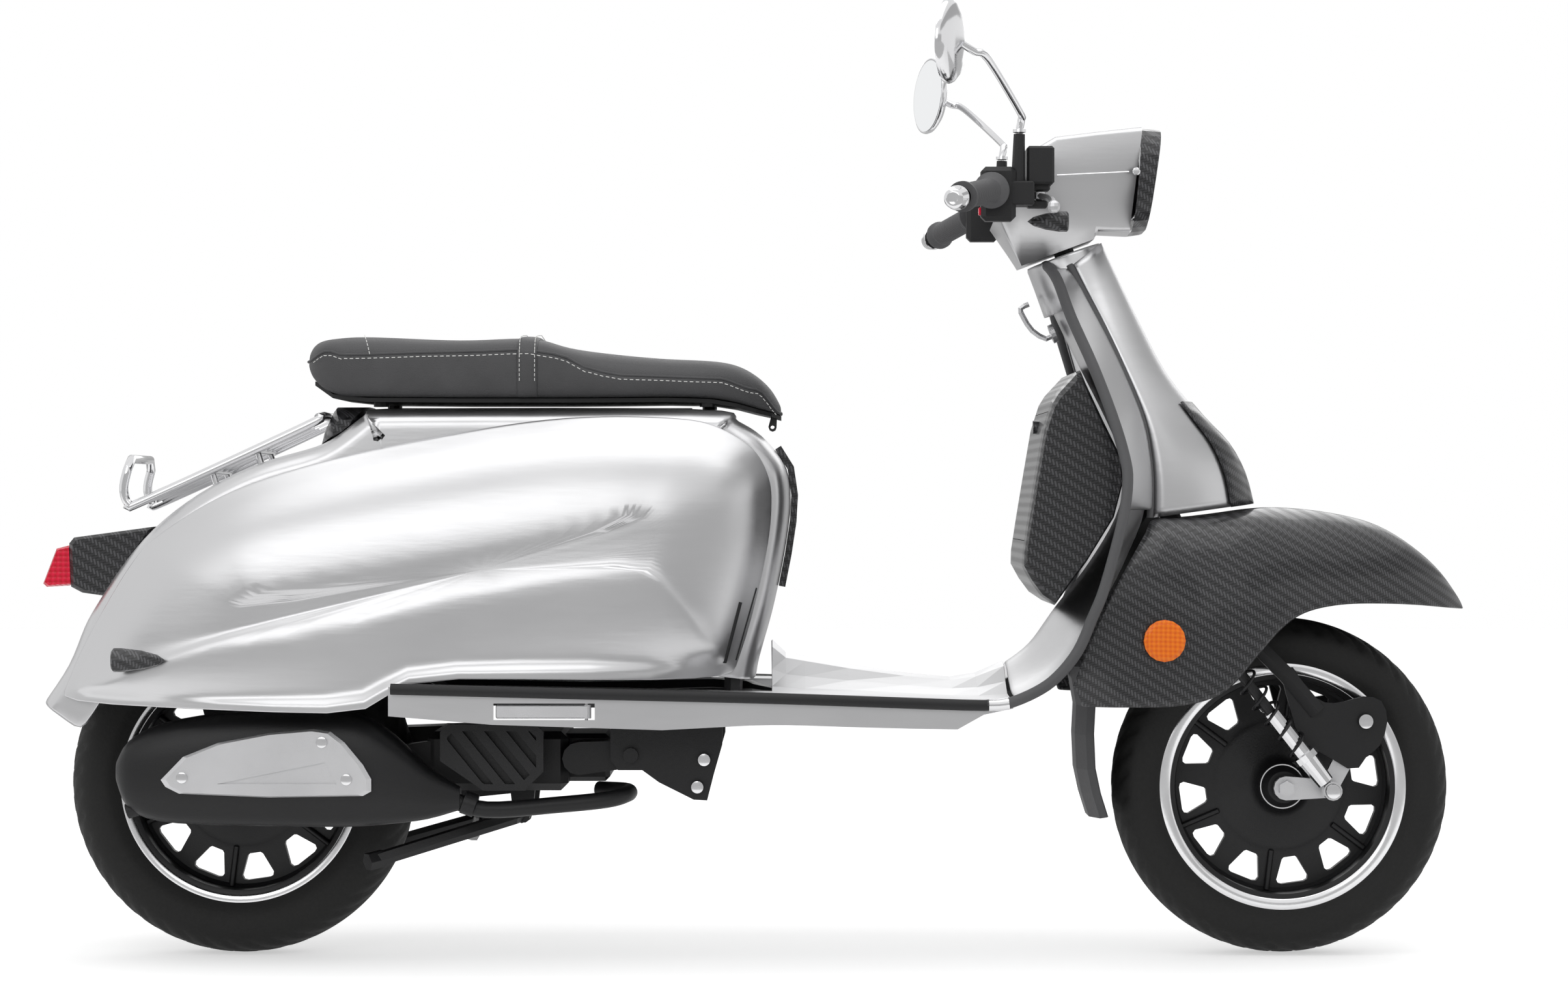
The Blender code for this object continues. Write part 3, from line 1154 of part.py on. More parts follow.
# ---- front suspension --------------------------------------------------------------------
def front_link():
    """Two trailing arms joined by the axle, each with a stud for its shock absorber."""
    pieces = [rod((FRONT_AXLE[0], -LINK_Y - 0.012, FRONT_AXLE[1]),
                  (FRONT_AXLE[0], LINK_Y + 0.012, FRONT_AXLE[1]), AXLE_RADIUS, 16)]
    bores = []
    for side in (-1, 1):
        low, high = sorted((side * LINK_Y, side * (LINK_Y + LINK_THICKNESS)))
        (ax, az), (bx, bz), (cx, cz) = FRONT_AXLE, SHOCK_LOW, LINK_PIVOT
        pieces.append(prism(hull_of_circles([(ax, az, 0.016), (bx, bz, 0.012)], 12), low, high))
        pieces.append(prism(hull_of_circles([(bx, bz, 0.012), (cx, cz, 0.014)], 12), low, high))
        pieces.append(rod((bx, side * (LINK_Y + 0.002), bz), (bx, side * (SHOCK_Y + 0.013), bz),
                          PIN + 0.0005, 10))
        pieces.append(rod((ax, side * (LINK_Y + 0.005), az), (ax, side * (LINK_Y + 0.020), az),
                          0.011, 6))
        bores.append(rod((cx, side * 0.05, cz), (cx, side * 0.09, cz), 0.0065 + RUNNING, 12))
    solid = cut(union(*pieces), *bores)
    part("front_link", solid, "aluminium", pivot=(LINK_PIVOT[0], 0, LINK_PIVOT[1]))


def shock_line(top, low, y):
    """Upper eye, lower eye and unit direction from top to bottom."""
    a, b = Vector((top[0], y, top[1])), Vector((low[0], y, low[1]))
    return a, b, (b - a).normalized()


def shock(side_y, top, low, names, spring_radius, top_pin, low_pin, slots):
    """Telescopic damper in an upper and a lower half; the coil spring is a third piece."""
    a, b, way = shock_line(top, low, side_y)
    length = (b - a).length
    half = 0.010
    split = length * 0.46
    upper_eye = rod((a.x, a.y - half, a.z), (a.x, a.y + half, a.z), 0.0125, 14)
    shaft = turned([(0, 0.006), (spring_radius, 0.006 + 0.010), (spring_radius, 0.020),
                    (DAMPER_RADIUS - 0.0045, 0.021), (DAMPER_RADIUS - 0.0045, split + 0.045),
                    (0, split + 0.045)], a, way, 14)
    bore = rod((a.x, a.y - 0.03, a.z), (a.x, a.y + 0.03, a.z), top_pin + RUNNING, 10)
    part(names[0], cut(union(upper_eye, shaft), bore), slots[0], pivot=tuple(a))
    well = DAMPER_RADIUS - 0.0045 + RUNNING
    perch = length - 0.062
    lower = turned([(0, length - 0.008), (DAMPER_RADIUS, length - 0.014),
                    (DAMPER_RADIUS + 0.002, perch + 0.010), (spring_radius + 0.001, perch + 0.009),
                    (spring_radius + 0.001, perch), (DAMPER_RADIUS, perch - 0.001),
                    (DAMPER_RADIUS, split), (well, split), (well, split + 0.082),
                    (0, split + 0.082)], a, way, 14)
    eye = rod((b.x, b.y - half, b.z), (b.x, b.y + half, b.z), 0.0125, 14)
    hole = rod((b.x, b.y - 0.03, b.z), (b.x, b.y + 0.03, b.z), low_pin + 0.0035, 10)
    part(names[1], cut(union(lower, eye), hole), slots[1], pivot=tuple(b))
    return a, way, perch


def coil_spring(name, a, way, begin, end, mean_radius, wire, turns):
    """Coil of round wire between the two perches."""
    side = way.orthogonal().normalized()
    other = way.cross(side)
    per_turn = 8
    steps = int(turns * per_turn)
    points = []
    for n in range(steps + 1):
        angle = 2 * math.pi * n / per_turn
        along = lerp(begin + wire, end - wire, n / steps)
        points.append(a + way * along
                      + (side * math.cos(angle) + other * math.sin(angle)) * mean_radius)
    part(name, tube(points, wire, 1), "black_metal", pivot=tuple(a))


def front_shocks():
    for side, word in ((-1, "right"), (1, "left")):
        names = ("front_shock_upper_" + word, "front_shock_lower_" + word)
        a, way, perch = shock(side * SHOCK_Y, SHOCK_TOP, SHOCK_LOW, names, SPRING_RADIUS,
                              PIN + 0.001, PIN + 0.0005, ("black_metal", "chrome"))
        coil_spring("front_spring_" + word, a, way, 0.0205, perch - 0.0005,
                    SPRING_RADIUS - 0.0025, 0.0022, 5.5)


def rear_shock():
    names = ("rear_shock_upper", "rear_shock_lower")
    shock(REAR_SHOCK_Y, REAR_SHOCK_TOP, REAR_SHOCK_LOW, names, SPRING_RADIUS + 0.003,
          PIN + 0.002, PIN + 0.002, ("black_metal", "chrome"))


# ---- engine, exhaust and stand -----------------------------------------------------------
def engine_block():
    """Crankcase, cylinder, drive case on the left and support arm on the right."""
    rear = DRAWN_REAR_X + REAR_TYRE_RADIUS + 0.022
    crank = box((rear, -0.098, 0.226), (-0.250, 0.098, 0.305), 0.010)
    cylinder = box((-0.262, -0.062, 0.236), (-0.196, 0.062, 0.300), 0.006)
    px, pz = ENGINE_PIVOT
    ax, az = REAR_AXLE
    pieces = [crank, cylinder]
    inner = REAR_TYRE_WIDTH / 2 + 0.009
    case = hull_of_circles([(ax, az, 0.060), (-0.330, 0.258, 0.048), (-0.430, 0.252, 0.050)], 16)
    pieces.append(prism(case, inner, inner + 0.056))
    arm = hull_of_circles([(ax, az, 0.022), (-0.420, 0.262, 0.032)], 12)
    pieces.append(prism(arm, -inner - 0.024, -inner))
    pieces.append(rod((ax, -inner - 0.030, az), (ax, inner + 0.02, az), AXLE_RADIUS, 16))
    for side in (-1, 1):
        y = sorted((side * 0.046, side * 0.112))
        pieces.append(prism(hull_of_circles([(px, pz, 0.018), (-0.235, 0.270, 0.022)], 12), *y))
        y = sorted((side * 0.052, side * 0.062))
        sx, sz = STAND_PIVOT
        pieces.append(prism(hull_of_circles([(sx, sz, 0.013), (sx, sz + 0.045, 0.018)], 10), *y))
    core = [(lerp(-0.347, x, 0.93), lerp(0.2780, z, 0.93)) for x, z in RADIATOR_LINE]
    pieces.append(prism(core, RADIATOR_Y + 0.0006, -0.090))
    sx, sz = REAR_SHOCK_LOW
    lug = hull_of_circles([(sx, sz, 0.012), (sx, sz - 0.050, 0.020)], 10)
    pieces.append(prism(lug, inner + 0.040, inner + 0.060))
    pieces.append(rod((sx, inner + 0.050, sz), (sx, REAR_SHOCK_Y + 0.012, sz), PIN + 0.002, 10))
    stand_x, stand_z = STAND_PIVOT
    bores = [rod((px, -0.2, pz), (px, 0.2, pz), 0.010 + RUNNING, 12),
             rod((stand_x, -0.2, stand_z), (stand_x, 0.2, stand_z), 0.006 + RUNNING, 12)]
    part("engine_block", cut(union(*pieces), *bores), "aluminium", pivot=(px, 0, pz))


RADIATOR_Y = -0.1466
RADIATOR_LINE = [(-0.415, 0.2700), (-0.415, 0.3080), (-0.405, 0.3180), (-0.289, 0.3180),
                 (-0.279, 0.3080), (-0.279, 0.2560), (-0.304, 0.2310), (-0.358, 0.2310)]


def radiator_grille():
    """Eight-sided guard with slanting fins over the radiator."""
    inner = [(lerp(-0.347, x, 0.86), lerp(0.2745, z, 0.80)) for x, z in RADIATOR_LINE]
    frame = prism(RADIATOR_LINE, RADIATOR_Y - 0.009, RADIATOR_Y)
    slots = []
    for n in range(5):
        x = -0.432 + 0.029 * n
        slots.append(prism([(x, 0.330), (x + 0.013, 0.330), (x + 0.103, 0.220),
                            (x + 0.090, 0.220)], -0.17, -0.14))
    window = prism(inner, -0.18, -0.13)
    slots = [combined(slot, [window], "INTERSECT") for slot in slots]
    part("radiator_grille", cut(frame, *slots), "black_plastic",
         pivot=(ENGINE_PIVOT[0], 0, ENGINE_PIVOT[1]))


MUFFLER_Y = -0.156
MUFFLER = [  # (x, bottom, top, half thickness)
    (-0.838, 0.242, 0.272, 0.020), (-0.822, 0.208, 0.298, 0.036), (-0.780, 0.191, 0.320, 0.042),
    (-0.700, 0.186, 0.334, 0.044), (-0.600, 0.184, 0.338, 0.044), (-0.525, 0.184, 0.334, 0.043),
    (-0.475, 0.188, 0.305, 0.038), (-0.430, 0.194, 0.262, 0.028), (-0.388, 0.206, 0.236, 0.015)]


MUFFLER_WALL = 0.004


def silencer_ring(x, low, top, half, wall=0.0):
    """Rounded section of the silencer, or of its hollow when a wall is given."""
    ring = []
    for n in range(12):
        t = 2 * math.pi * (n + 0.5) / 12
        c, s = math.cos(t), math.sin(t)
        ring.append((x, MUFFLER_Y + (half - wall) * math.copysign(abs(c) ** 0.7, c),
                     lerp(low + wall, top - wall, (1 + math.copysign(abs(s) ** 0.7, s)) / 2)))
    return ring


def muffler():
    """Silencer body, tail pipe and header pipe."""
    body = loft([silencer_ring(*station) for station in MUFFLER])
    hollow = loft([silencer_ring(x, low, top, half, MUFFLER_WALL)
                   for x, low, top, half in MUFFLER[1:-2]])
    pipe = tube(smooth([(-0.400, MUFFLER_Y, 0.2200), (-0.353, -0.154, 0.2060),
                        (-0.260, -0.148, 0.2120), (-0.196, -0.140, 0.2180),
                        (-0.170, -0.118, 0.2240), (-0.172, -0.085, 0.2250),
                        (-0.190, -0.050, 0.2235), (-0.212, -0.032, 0.2230)], 2), 0.011)
    clamp = rod((-0.385, MUFFLER_Y, 0.2170), (-0.360, MUFFLER_Y, 0.2080), 0.0155, 12)
    tail = rod((-0.790, MUFFLER_Y - 0.012, 0.2160), (-0.824, MUFFLER_Y - 0.012, 0.2050),
               0.0100, 12)
    bore = rod((-0.780, MUFFLER_Y - 0.012, 0.2193), (-0.840, MUFFLER_Y - 0.012, 0.1998),
               0.0078, 12)
    foot = rod((-0.62, MUFFLER_Y + 0.03, 0.2500), (-0.62, -0.0935, 0.2500), 0.009, 10)
    solid = cut(union(body, pipe, clamp, tail, foot), hollow, bore)
    part("muffler", solid, "black_metal", pivot=(ENGINE_PIVOT[0], 0, ENGINE_PIVOT[1]))


def heat_shield():
    """Pressed guard bolted to the outside of the silencer."""
    outline = [(-0.774, 0.2490), (-0.745, 0.2790), (-0.700, 0.2970), (-0.633, 0.3100),
               (-0.5745, 0.3150), (-0.553, 0.3120), (-0.535, 0.2980), (-0.511, 0.2690),
               (-0.500, 0.2500), (-0.500, 0.2340), (-0.511, 0.2280), (-0.633, 0.2260),
               (-0.750, 0.2310), (-0.768, 0.2400)]
    middle = (-0.63, 0.262)
    y = MUFFLER_Y - 0.0432
    rings = []
    for depth, scale in ((0.0, 1.0), (-0.005, 1.0), (-0.008, 0.95)):
        rings.append([(lerp(middle[0], x, scale), y + depth, lerp(middle[1], z, scale))
                      for x, z in outline])
    pocket = prism([(-0.700, 0.2440), (-0.560, 0.2720), (-0.545, 0.2440)], y - 0.02, y - 0.0055)
    part("heat_shield", cut(loft(rings), pocket), "aluminium",
         pivot=(ENGINE_PIVOT[0], 0, ENGINE_PIVOT[1]))


def centre_stand():
    """Folded stand: cross tube, two splayed legs with feet, and a brace."""
    x, z = STAND_PIVOT
    pieces = [rod((x, -0.066, z), (x, 0.066, z), 0.006, 12)]
    for side in (-1, 1):
        pieces.append(tube([(x, side * 0.071, z), (x - 0.010, side * 0.086, z - 0.003),
                            (x - 0.190, side * 0.128, z - 0.056)], 0.010))
        pieces.append(rod((x, side * 0.063, z), (x, side * 0.080, z), 0.0115, 12))
        pieces.append(tube([(x - 0.180, side * 0.120, z - 0.054),
                            (x - 0.200, side * 0.134, z - 0.058)], 0.0125))
    pieces.append(tube([(x - 0.075, -0.099, z - 0.0225), (x - 0.070, 0.0, z - 0.036),
                        (x - 0.075, 0.099, z - 0.0225)], 0.007))
    part("centre_stand", union(*pieces), "black_metal", pivot=(x, 0, z))


# ---- the whole machine -------------------------------------------------------------------
def build():
    for obj in list(bpy.data.objects):
        bpy.data.objects.remove(obj, do_unlink=True)
    tyre("front_tyre", FRONT_AXLE_X, FRONT_TYRE_RADIUS, FRONT_TYRE_WIDTH)
    tyre("rear_tyre", REAR_AXLE_X, REAR_TYRE_RADIUS, REAR_TYRE_WIDTH)
    rim("front_rim", FRONT_AXLE_X, FRONT_TYRE_RADIUS)
    rim("rear_rim", REAR_AXLE_X, REAR_TYRE_RADIUS)
    for make in (main_frame, floor_board, leg_shield, edge_trim, horncast, horn_grille,
                 front_mudguard, glovebox, glovebox_door, bag_hook, body_shell, body_grille,
                 tail_light, rear_rack, storage_bucket, seat_base, seat_cushion, splash_flap,
                 steering_column, headset, headlight, stop_button, front_link, front_shocks,
                 rear_shock, engine_block, radiator_grille, muffler, heat_shield,
                 centre_stand):
        make()
    for side in (-1, 1):
        for make in (passenger_peg, reflector, side_panel, rear_indicator, grip, lever,
                     control, mirror, front_indicator):
            make(side)


build()
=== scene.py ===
# %% [markdown]
# # A moped scooter in silver, carbon fibre and dark leather
# The construction comes in as a fixed frame. This file gives every surface its finish and
# models again, more finely, the pieces whose curves the eye follows: body panels, seat,
# wheels, lamps and silencer. All sizes are metres in the frame's own coordinates.

import json
import math

import bmesh
import bpy
from mathutils import Matrix, Vector
from mathutils.bvhtree import BVHTree


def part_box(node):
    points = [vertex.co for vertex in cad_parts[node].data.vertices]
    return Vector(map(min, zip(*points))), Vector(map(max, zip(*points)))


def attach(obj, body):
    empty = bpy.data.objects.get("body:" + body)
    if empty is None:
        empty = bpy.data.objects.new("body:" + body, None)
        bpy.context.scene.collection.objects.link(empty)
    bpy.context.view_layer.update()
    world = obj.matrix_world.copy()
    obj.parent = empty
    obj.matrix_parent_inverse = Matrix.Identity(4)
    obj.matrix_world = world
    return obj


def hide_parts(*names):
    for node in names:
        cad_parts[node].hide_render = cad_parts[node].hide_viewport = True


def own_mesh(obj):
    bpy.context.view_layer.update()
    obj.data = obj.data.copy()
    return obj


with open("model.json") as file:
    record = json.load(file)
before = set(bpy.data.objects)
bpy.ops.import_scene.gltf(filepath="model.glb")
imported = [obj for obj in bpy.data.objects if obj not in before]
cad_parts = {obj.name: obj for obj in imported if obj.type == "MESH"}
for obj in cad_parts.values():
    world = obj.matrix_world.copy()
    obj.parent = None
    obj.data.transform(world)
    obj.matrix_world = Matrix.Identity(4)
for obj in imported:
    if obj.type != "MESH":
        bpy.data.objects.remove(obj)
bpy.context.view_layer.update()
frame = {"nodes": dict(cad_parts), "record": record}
nodes = frame["nodes"]
print(len(nodes), "solids in the frame")

# %% [markdown]
# ## Shader maths with plain operators
# A pattern is arithmetic on a surface point. Wrapping a socket in a small class lets that
# arithmetic be written as a formula, and each operator adds one Math node.


# %% Signal: a socket that can be added, multiplied and compared
class Signal:
    def __init__(self, tree, socket):
        self.tree = tree
        self.socket = socket

    def node(self, kind, *others):
        made = self.tree.nodes.new("ShaderNodeMath")
        made.operation = kind
        for slot, value in zip(made.inputs, (self, *others)):
            if isinstance(value, Signal):
                self.tree.links.new(value.socket, slot)
            else:
                slot.default_value = value
        return Signal(self.tree, made.outputs[0])

    def __add__(self, other):
        return self.node("ADD", other)

    def __sub__(self, other):
        return self.node("SUBTRACT", other)

    def __mul__(self, other):
        return self.node("MULTIPLY", other)

    def __gt__(self, other):
        return self.node("GREATER_THAN", other)

    def wave(self):
        return self.node("SINE")

    def cell(self):
        return self.node("FLOOR")

    def within(self):
        return self.node("FRACT")

    def wrapped(self, size):
        return self.node("FLOORED_MODULO", size)


def place(tree):
    """The surface point as three signals."""
    coordinates = tree.nodes.new("ShaderNodeTexCoord")
    split = tree.nodes.new("ShaderNodeSeparateXYZ")
    tree.links.new(coordinates.outputs["Object"], split.inputs[0])
    return [Signal(tree, split.outputs[n]) for n in range(3)]


def noise(tree, scale, detail=3.0, stretch=(1.0, 1.0, 1.0)):
    """Cloudy variation from 0 to 1, with the size of its spots set by scale."""
    coordinates = tree.nodes.new("ShaderNodeTexCoord")
    mapping = tree.nodes.new("ShaderNodeMapping")
    mapping.inputs["Scale"].default_value = stretch
    texture = tree.nodes.new("ShaderNodeTexNoise")
    texture.inputs["Scale"].default_value = scale
    texture.inputs["Detail"].default_value = detail
    tree.links.new(coordinates.outputs["Object"], mapping.inputs[0])
    tree.links.new(mapping.outputs[0], texture.inputs["Vector"])
    return Signal(tree, texture.outputs["Fac"])


def cells(tree, scale, feature="DISTANCE_TO_EDGE"):
    """Distance to the edge of scattered cells, which reads as grain."""
    coordinates = tree.nodes.new("ShaderNodeTexCoord")
    texture = tree.nodes.new("ShaderNodeTexVoronoi")
    texture.feature = feature
    texture.inputs["Scale"].default_value = scale
    tree.links.new(coordinates.outputs["Object"], texture.inputs["Vector"])
    return Signal(tree, texture.outputs["Distance"])


def finish(name, colour, metallic=0.0, roughness=0.5, **more):
    """A material with constants on its own sockets; returns it, its tree and its shader."""
    made = bpy.data.materials.new(name)
    made.use_nodes = True
    shader = made.node_tree.nodes["Principled BSDF"]
    shader.inputs["Base Color"].default_value = (*colour, 1.0)
    shader.inputs["Metallic"].default_value = metallic
    shader.inputs["Roughness"].default_value = roughness
    for key, value in more.items():
        shader.inputs[key.replace("_", " ")].default_value = value
    return made, made.node_tree, shader


def between(tree, fac, low, high, shader):
    """Base colour that runs from low to high with a signal."""
    mix = tree.nodes.new("ShaderNodeMix")
    mix.data_type = "RGBA"
    mix.inputs["A"].default_value = (*low, 1.0)
    mix.inputs["B"].default_value = (*high, 1.0)
    tree.links.new(fac.socket, mix.inputs["Factor"])
    tree.links.new(mix.outputs["Result"], shader.inputs["Base Color"])


def relief(tree, height, depth, shader):
    """Bump of a given depth in metres."""
    bump = tree.nodes.new("ShaderNodeBump")
    bump.inputs["Strength"].default_value = 1.0
    bump.inputs["Distance"].default_value = depth
    tree.links.new(height.socket, bump.inputs["Height"])
    tree.links.new(bump.outputs["Normal"], shader.inputs["Normal"])


def rough(tree, signal, shader):
    tree.links.new(signal.socket, shader.inputs["Roughness"])


# %% [markdown]
# ## Finishes
# Polished silver panels, twill carbon fibre under lacquer, grained leather, satin black
# castings, moulded rubber, chrome and coloured lenses. Each varies over the surface, because
# an even surface reads as plastic film.


# %% Silver panels: bright metal with faint polishing marks
def silver_finish():
    made, tree, shader = finish("polished_silver", (0.56, 0.56, 0.57), 1.0, 0.24)
    marks = noise(tree, 60.0, 4.0, (0.35, 1.0, 2.6))
    clouds = noise(tree, 3.0, 2.0)
    rough(tree, marks * 0.07 + clouds * 0.08 + 0.25, shader)
    between(tree, clouds, (0.50, 0.50, 0.51), (0.62, 0.62, 0.625), shader)
    relief(tree, marks, 0.00012, shader)
    return made


# %% Carbon fibre: two-by-two twill under clear lacquer, with the tows' sheen painted into the colour
def carbon_finish():
    made, tree, shader = finish("carbon_twill", (0.02, 0.02, 0.021), 0.0, 0.32,
                                Coat_Weight=0.35, Coat_Roughness=0.06,
                                Specular_IOR_Level=0.25)
    x, y, z = place(tree)
    tow = 1 / 0.0042
    across = (x + y * 0.6 + z * 0.25) * tow
    along = (z - y * 0.6 - x * 0.25) * tow
    over = (across.cell() + along.cell()).wrapped(4.0) > 1.5
    # Painted highlight: the colour below is lightest on the crown of each tow and on the tows
    # that lie over, which paints the fibres' sheen
    crown = (across.within() * math.pi).wave()
    other = (along.within() * math.pi).wave()
    sheen = over * crown + (over * -1.0 + 1.0) * other * 0.35
    between(tree, sheen, (0.0012, 0.0012, 0.0015), (0.085, 0.085, 0.090), shader)
    rough(tree, over * -0.14 + 0.42, shader)
    return made


# %% Leather, rubber and tyre
def leather_finish():
    made, tree, shader = finish("grey_leather", (0.08, 0.08, 0.083), 0.0, 0.55)
    grain = cells(tree, 420.0)
    crease_relief_and_shade = noise(tree, 28.0, 5.0)
    # Painted shade: the colour darkens where the crease relief sinks, from the same signal that
    # sets the bump
    between(tree, crease_relief_and_shade, (0.036, 0.036, 0.038), (0.066, 0.066, 0.069), shader)
    rough(tree, crease_relief_and_shade * 0.20 + 0.44, shader)
    relief(tree, grain * 0.6 + crease_relief_and_shade * 0.6, 0.0010, shader)
    return made


def rubber_finish(name, low, high, roughness, grain=250.0, sheen=0.35):
    made, tree, shader = finish(name, low, 0.0, roughness, Specular_IOR_Level=sheen)
    spots = noise(tree, grain, 3.0)
    dust = noise(tree, 6.0, 3.0)
    between(tree, dust, low, high, shader)
    rough(tree, spots * 0.12 + (roughness - 0.06), shader)
    relief(tree, spots, 0.0003, shader)
    return made


# %% Metals: satin black, chrome, cast and machined aluminium
def metal_finish(name, low, high, metallic, roughness, grain, depth, sheen=0.5):
    made, tree, shader = finish(name, low, metallic, roughness, Specular_IOR_Level=sheen)
    spots = noise(tree, grain, 4.0)
    wear = noise(tree, 9.0, 3.0)
    between(tree, wear, low, high, shader)
    rough(tree, spots * 0.10 + wear * 0.08 + (roughness - 0.09), shader)
    relief(tree, spots, depth, shader)
    return made


# %% Lenses: coloured plastic with a moulded prism grid and painted glints on its crests, and clear glass
def lens_finish(name, low, high, pitch):
    made, tree, shader = finish(name, high, 0.0, 0.22, Coat_Weight=0.2, Coat_Roughness=0.04,
                                Specular_IOR_Level=0.25)
    x, y, z = place(tree)
    prism_relief_and_glint = ((x + z) * (math.pi / pitch)).wave() * ((z - x + y) * (math.pi / pitch)).wave()
    # Painted highlight: the colour is lightest on the prism crests and darkest in their hollows
    between(tree, prism_relief_and_glint * 0.5 + 0.5, low, high, shader)
    relief(tree, prism_relief_and_glint, pitch * 0.05, shader)
    return made


silver = silver_finish()
carbon = carbon_finish()
leather = leather_finish()
finishes = {
    "silver": silver,
    "carbon": carbon,
    "leather": leather,
    "black_metal": metal_finish("satin_black", (0.004, 0.004, 0.0045), (0.010, 0.010, 0.011),
                                0.0, 0.42, 500.0, 0.0002, 0.35),
    "black_plastic": rubber_finish("black_moulding", (0.006, 0.006, 0.0065),
                                   (0.014, 0.014, 0.015), 0.50, 900.0),
    "tyre": rubber_finish("tyre_rubber", (0.005, 0.005, 0.005), (0.013, 0.013, 0.0125), 0.72),
    "rubber": rubber_finish("grey_rubber", (0.070, 0.070, 0.073), (0.115, 0.115, 0.119), 0.58),
    "chrome": metal_finish("bright_chrome", (0.66, 0.66, 0.67), (0.74, 0.74, 0.75), 1.0, 0.13,
                           90.0, 0.00001),
    "aluminium": metal_finish("cast_aluminium", (0.48, 0.48, 0.49), (0.62, 0.62, 0.63), 1.0,
                              0.40, 700.0, 0.0002),
    "amber": lens_finish("amber_lens", (0.80, 0.12, 0.001), (1.0, 0.24, 0.004), 0.006),
    "red": lens_finish("red_lens", (0.55, 0.0, 0.015), (0.86, 0.004, 0.05), 0.007),
    "clear": finish("clear_glass", (0.92, 0.94, 0.95), 0.0, 0.05, Alpha=0.35,
                    Coat_Weight=1.0)[0],
}
reflector_bowl = finish("reflector_bowl", (0.85, 0.85, 0.86), 1.0, 0.12)[0]
thread = finish("pale_thread", (0.78, 0.78, 0.76), 0.0, 0.8)[0]
mirror_glass = finish("mirror_glass", (0.84, 0.85, 0.86), 1.0, 0.02)[0]
lip_metal = metal_finish("polished_lip", (0.70, 0.70, 0.71), (0.80, 0.80, 0.81), 1.0, 0.18,
                         60.0, 0.00002)
print(len(finishes), "finishes for the frame's slots")

# %% Every frame solid gets its slot's finish and smooth shading below 35 degrees
slot_of = {s["node"]: s["material_slot"] for s in frame["record"]["subparts"]}
darkened = {"engine_block": "black_metal", "radiator_grille": "black_plastic"}
slot_of.update(darkened)
for name, solid in nodes.items():
    solid.data.materials.clear()
    solid.data.materials.append(finishes[slot_of[name]])
    solid.data.shade_smooth()
    solid.data.set_sharp_from_angle(angle=math.radians(35))

# %% [markdown]
# ## Mesh helpers
# A curved panel is a grid of points with a wall thickness and one or two rounds of
# subdivision. Round things are spun, bars follow curves, and both share the same two calls
# that attach a piece to its body and let it stand for the frame's plainer solid.


# %% Curves and grids
def lerp(a, b, t):
    return a + (b - a) * t


def smooth(points, steps=3):
    """Points of a Catmull-Rom curve through an open list of points."""
    ends = [points[0], *points, points[-1]]
    curve = []
    for a, b, c, d in zip(ends, ends[1:], ends[2:], ends[3:]):
        for n in range(steps):
            t = n / steps
            curve.append(tuple(
                0.5 * (2 * q + (r - p) * t + (2 * p - 5 * q + 4 * r - s) * t * t
                       + (3 * q - p - 3 * r + s) * t ** 3)
                for p, q, r, s in zip(a, b, c, d)))
    curve.append(tuple(points[-1]))
    return curve


def smoothstep(t):
    t = min(max(t, 0.0), 1.0)
    return t * t * (3 - 2 * t)


def both_sides(half):
    return half + [(x, -y, z) for x, y, z in half[-2::-1]]


def skin(rows, closed=False, keep=None):
    """A bmesh of quads over a grid of points."""
    bm = bmesh.new()
    grid = [[bm.verts.new(p) for p in row] for row in rows]
    for i, (low, high) in enumerate(zip(grid, grid[1:])):
        for j in range(len(low) if closed else len(low) - 1):
            if keep is None or keep(i, j):
                k = (j + 1) % len(low)
                bm.faces.new((low[j], low[k], high[k], high[j]))
    bmesh.ops.delete(bm, geom=[v for v in bm.verts if not v.link_faces], context="VERTS")
    bmesh.ops.remove_doubles(bm, verts=bm.verts, dist=1e-5)
    bmesh.ops.recalc_face_normals(bm, faces=bm.faces)
    return bm


def facing(bm, inside):
    """Turn an open surface so that it looks away from a point."""
    inside = Vector(inside)
    outward = sum(f.normal.dot(f.calc_center_median() - inside) * f.calc_area()
                  for f in bm.faces)
    if outward < 0:
        bmesh.ops.reverse_faces(bm, faces=bm.faces)
    return bm


def cap(bm, row):
    """Close an open end with one face over the boundary edges along a row of points."""
    ends = [v for v in bm.verts if any((v.co - Vector(p)).length < 1e-5 for p in row)]
    bmesh.ops.contextual_create(bm, geom=[e for e in bm.edges if e.is_boundary
                                          and e.verts[0] in ends and e.verts[1] in ends])


# %% Pieces: name, mesh, finish, body, and the solids that they stand for
def meshed(name, bm):
    mesh = bpy.data.meshes.new(name)
    bm.to_mesh(mesh)
    bm.free()
    return mesh


def linked(name, data):
    """A new object, placed in the scene."""
    obj = bpy.data.objects.new(name, data)
    bpy.context.scene.collection.objects.link(obj)
    return obj


def piece(name, bm, finish_slot, body, stands_for=(), material=None, wall=0.0, levels=0):
    mesh = meshed(name, bm)
    mesh.shade_smooth()
    if not levels:
        mesh.set_sharp_from_angle(angle=math.radians(38))
    mesh.materials.append(material or finishes[finish_slot])
    obj = linked(name, mesh)
    if wall:
        thick = obj.modifiers.new("wall", "SOLIDIFY")
        thick.thickness = wall
        thick.offset = -1.0
    if levels:
        fine = obj.modifiers.new("fine", "SUBSURF")
        fine.levels = levels
        fine.render_levels = levels
    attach(obj, body)
    if stands_for:
        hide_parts(*stands_for)
    print(name, len(mesh.polygons), "faces")
    return obj


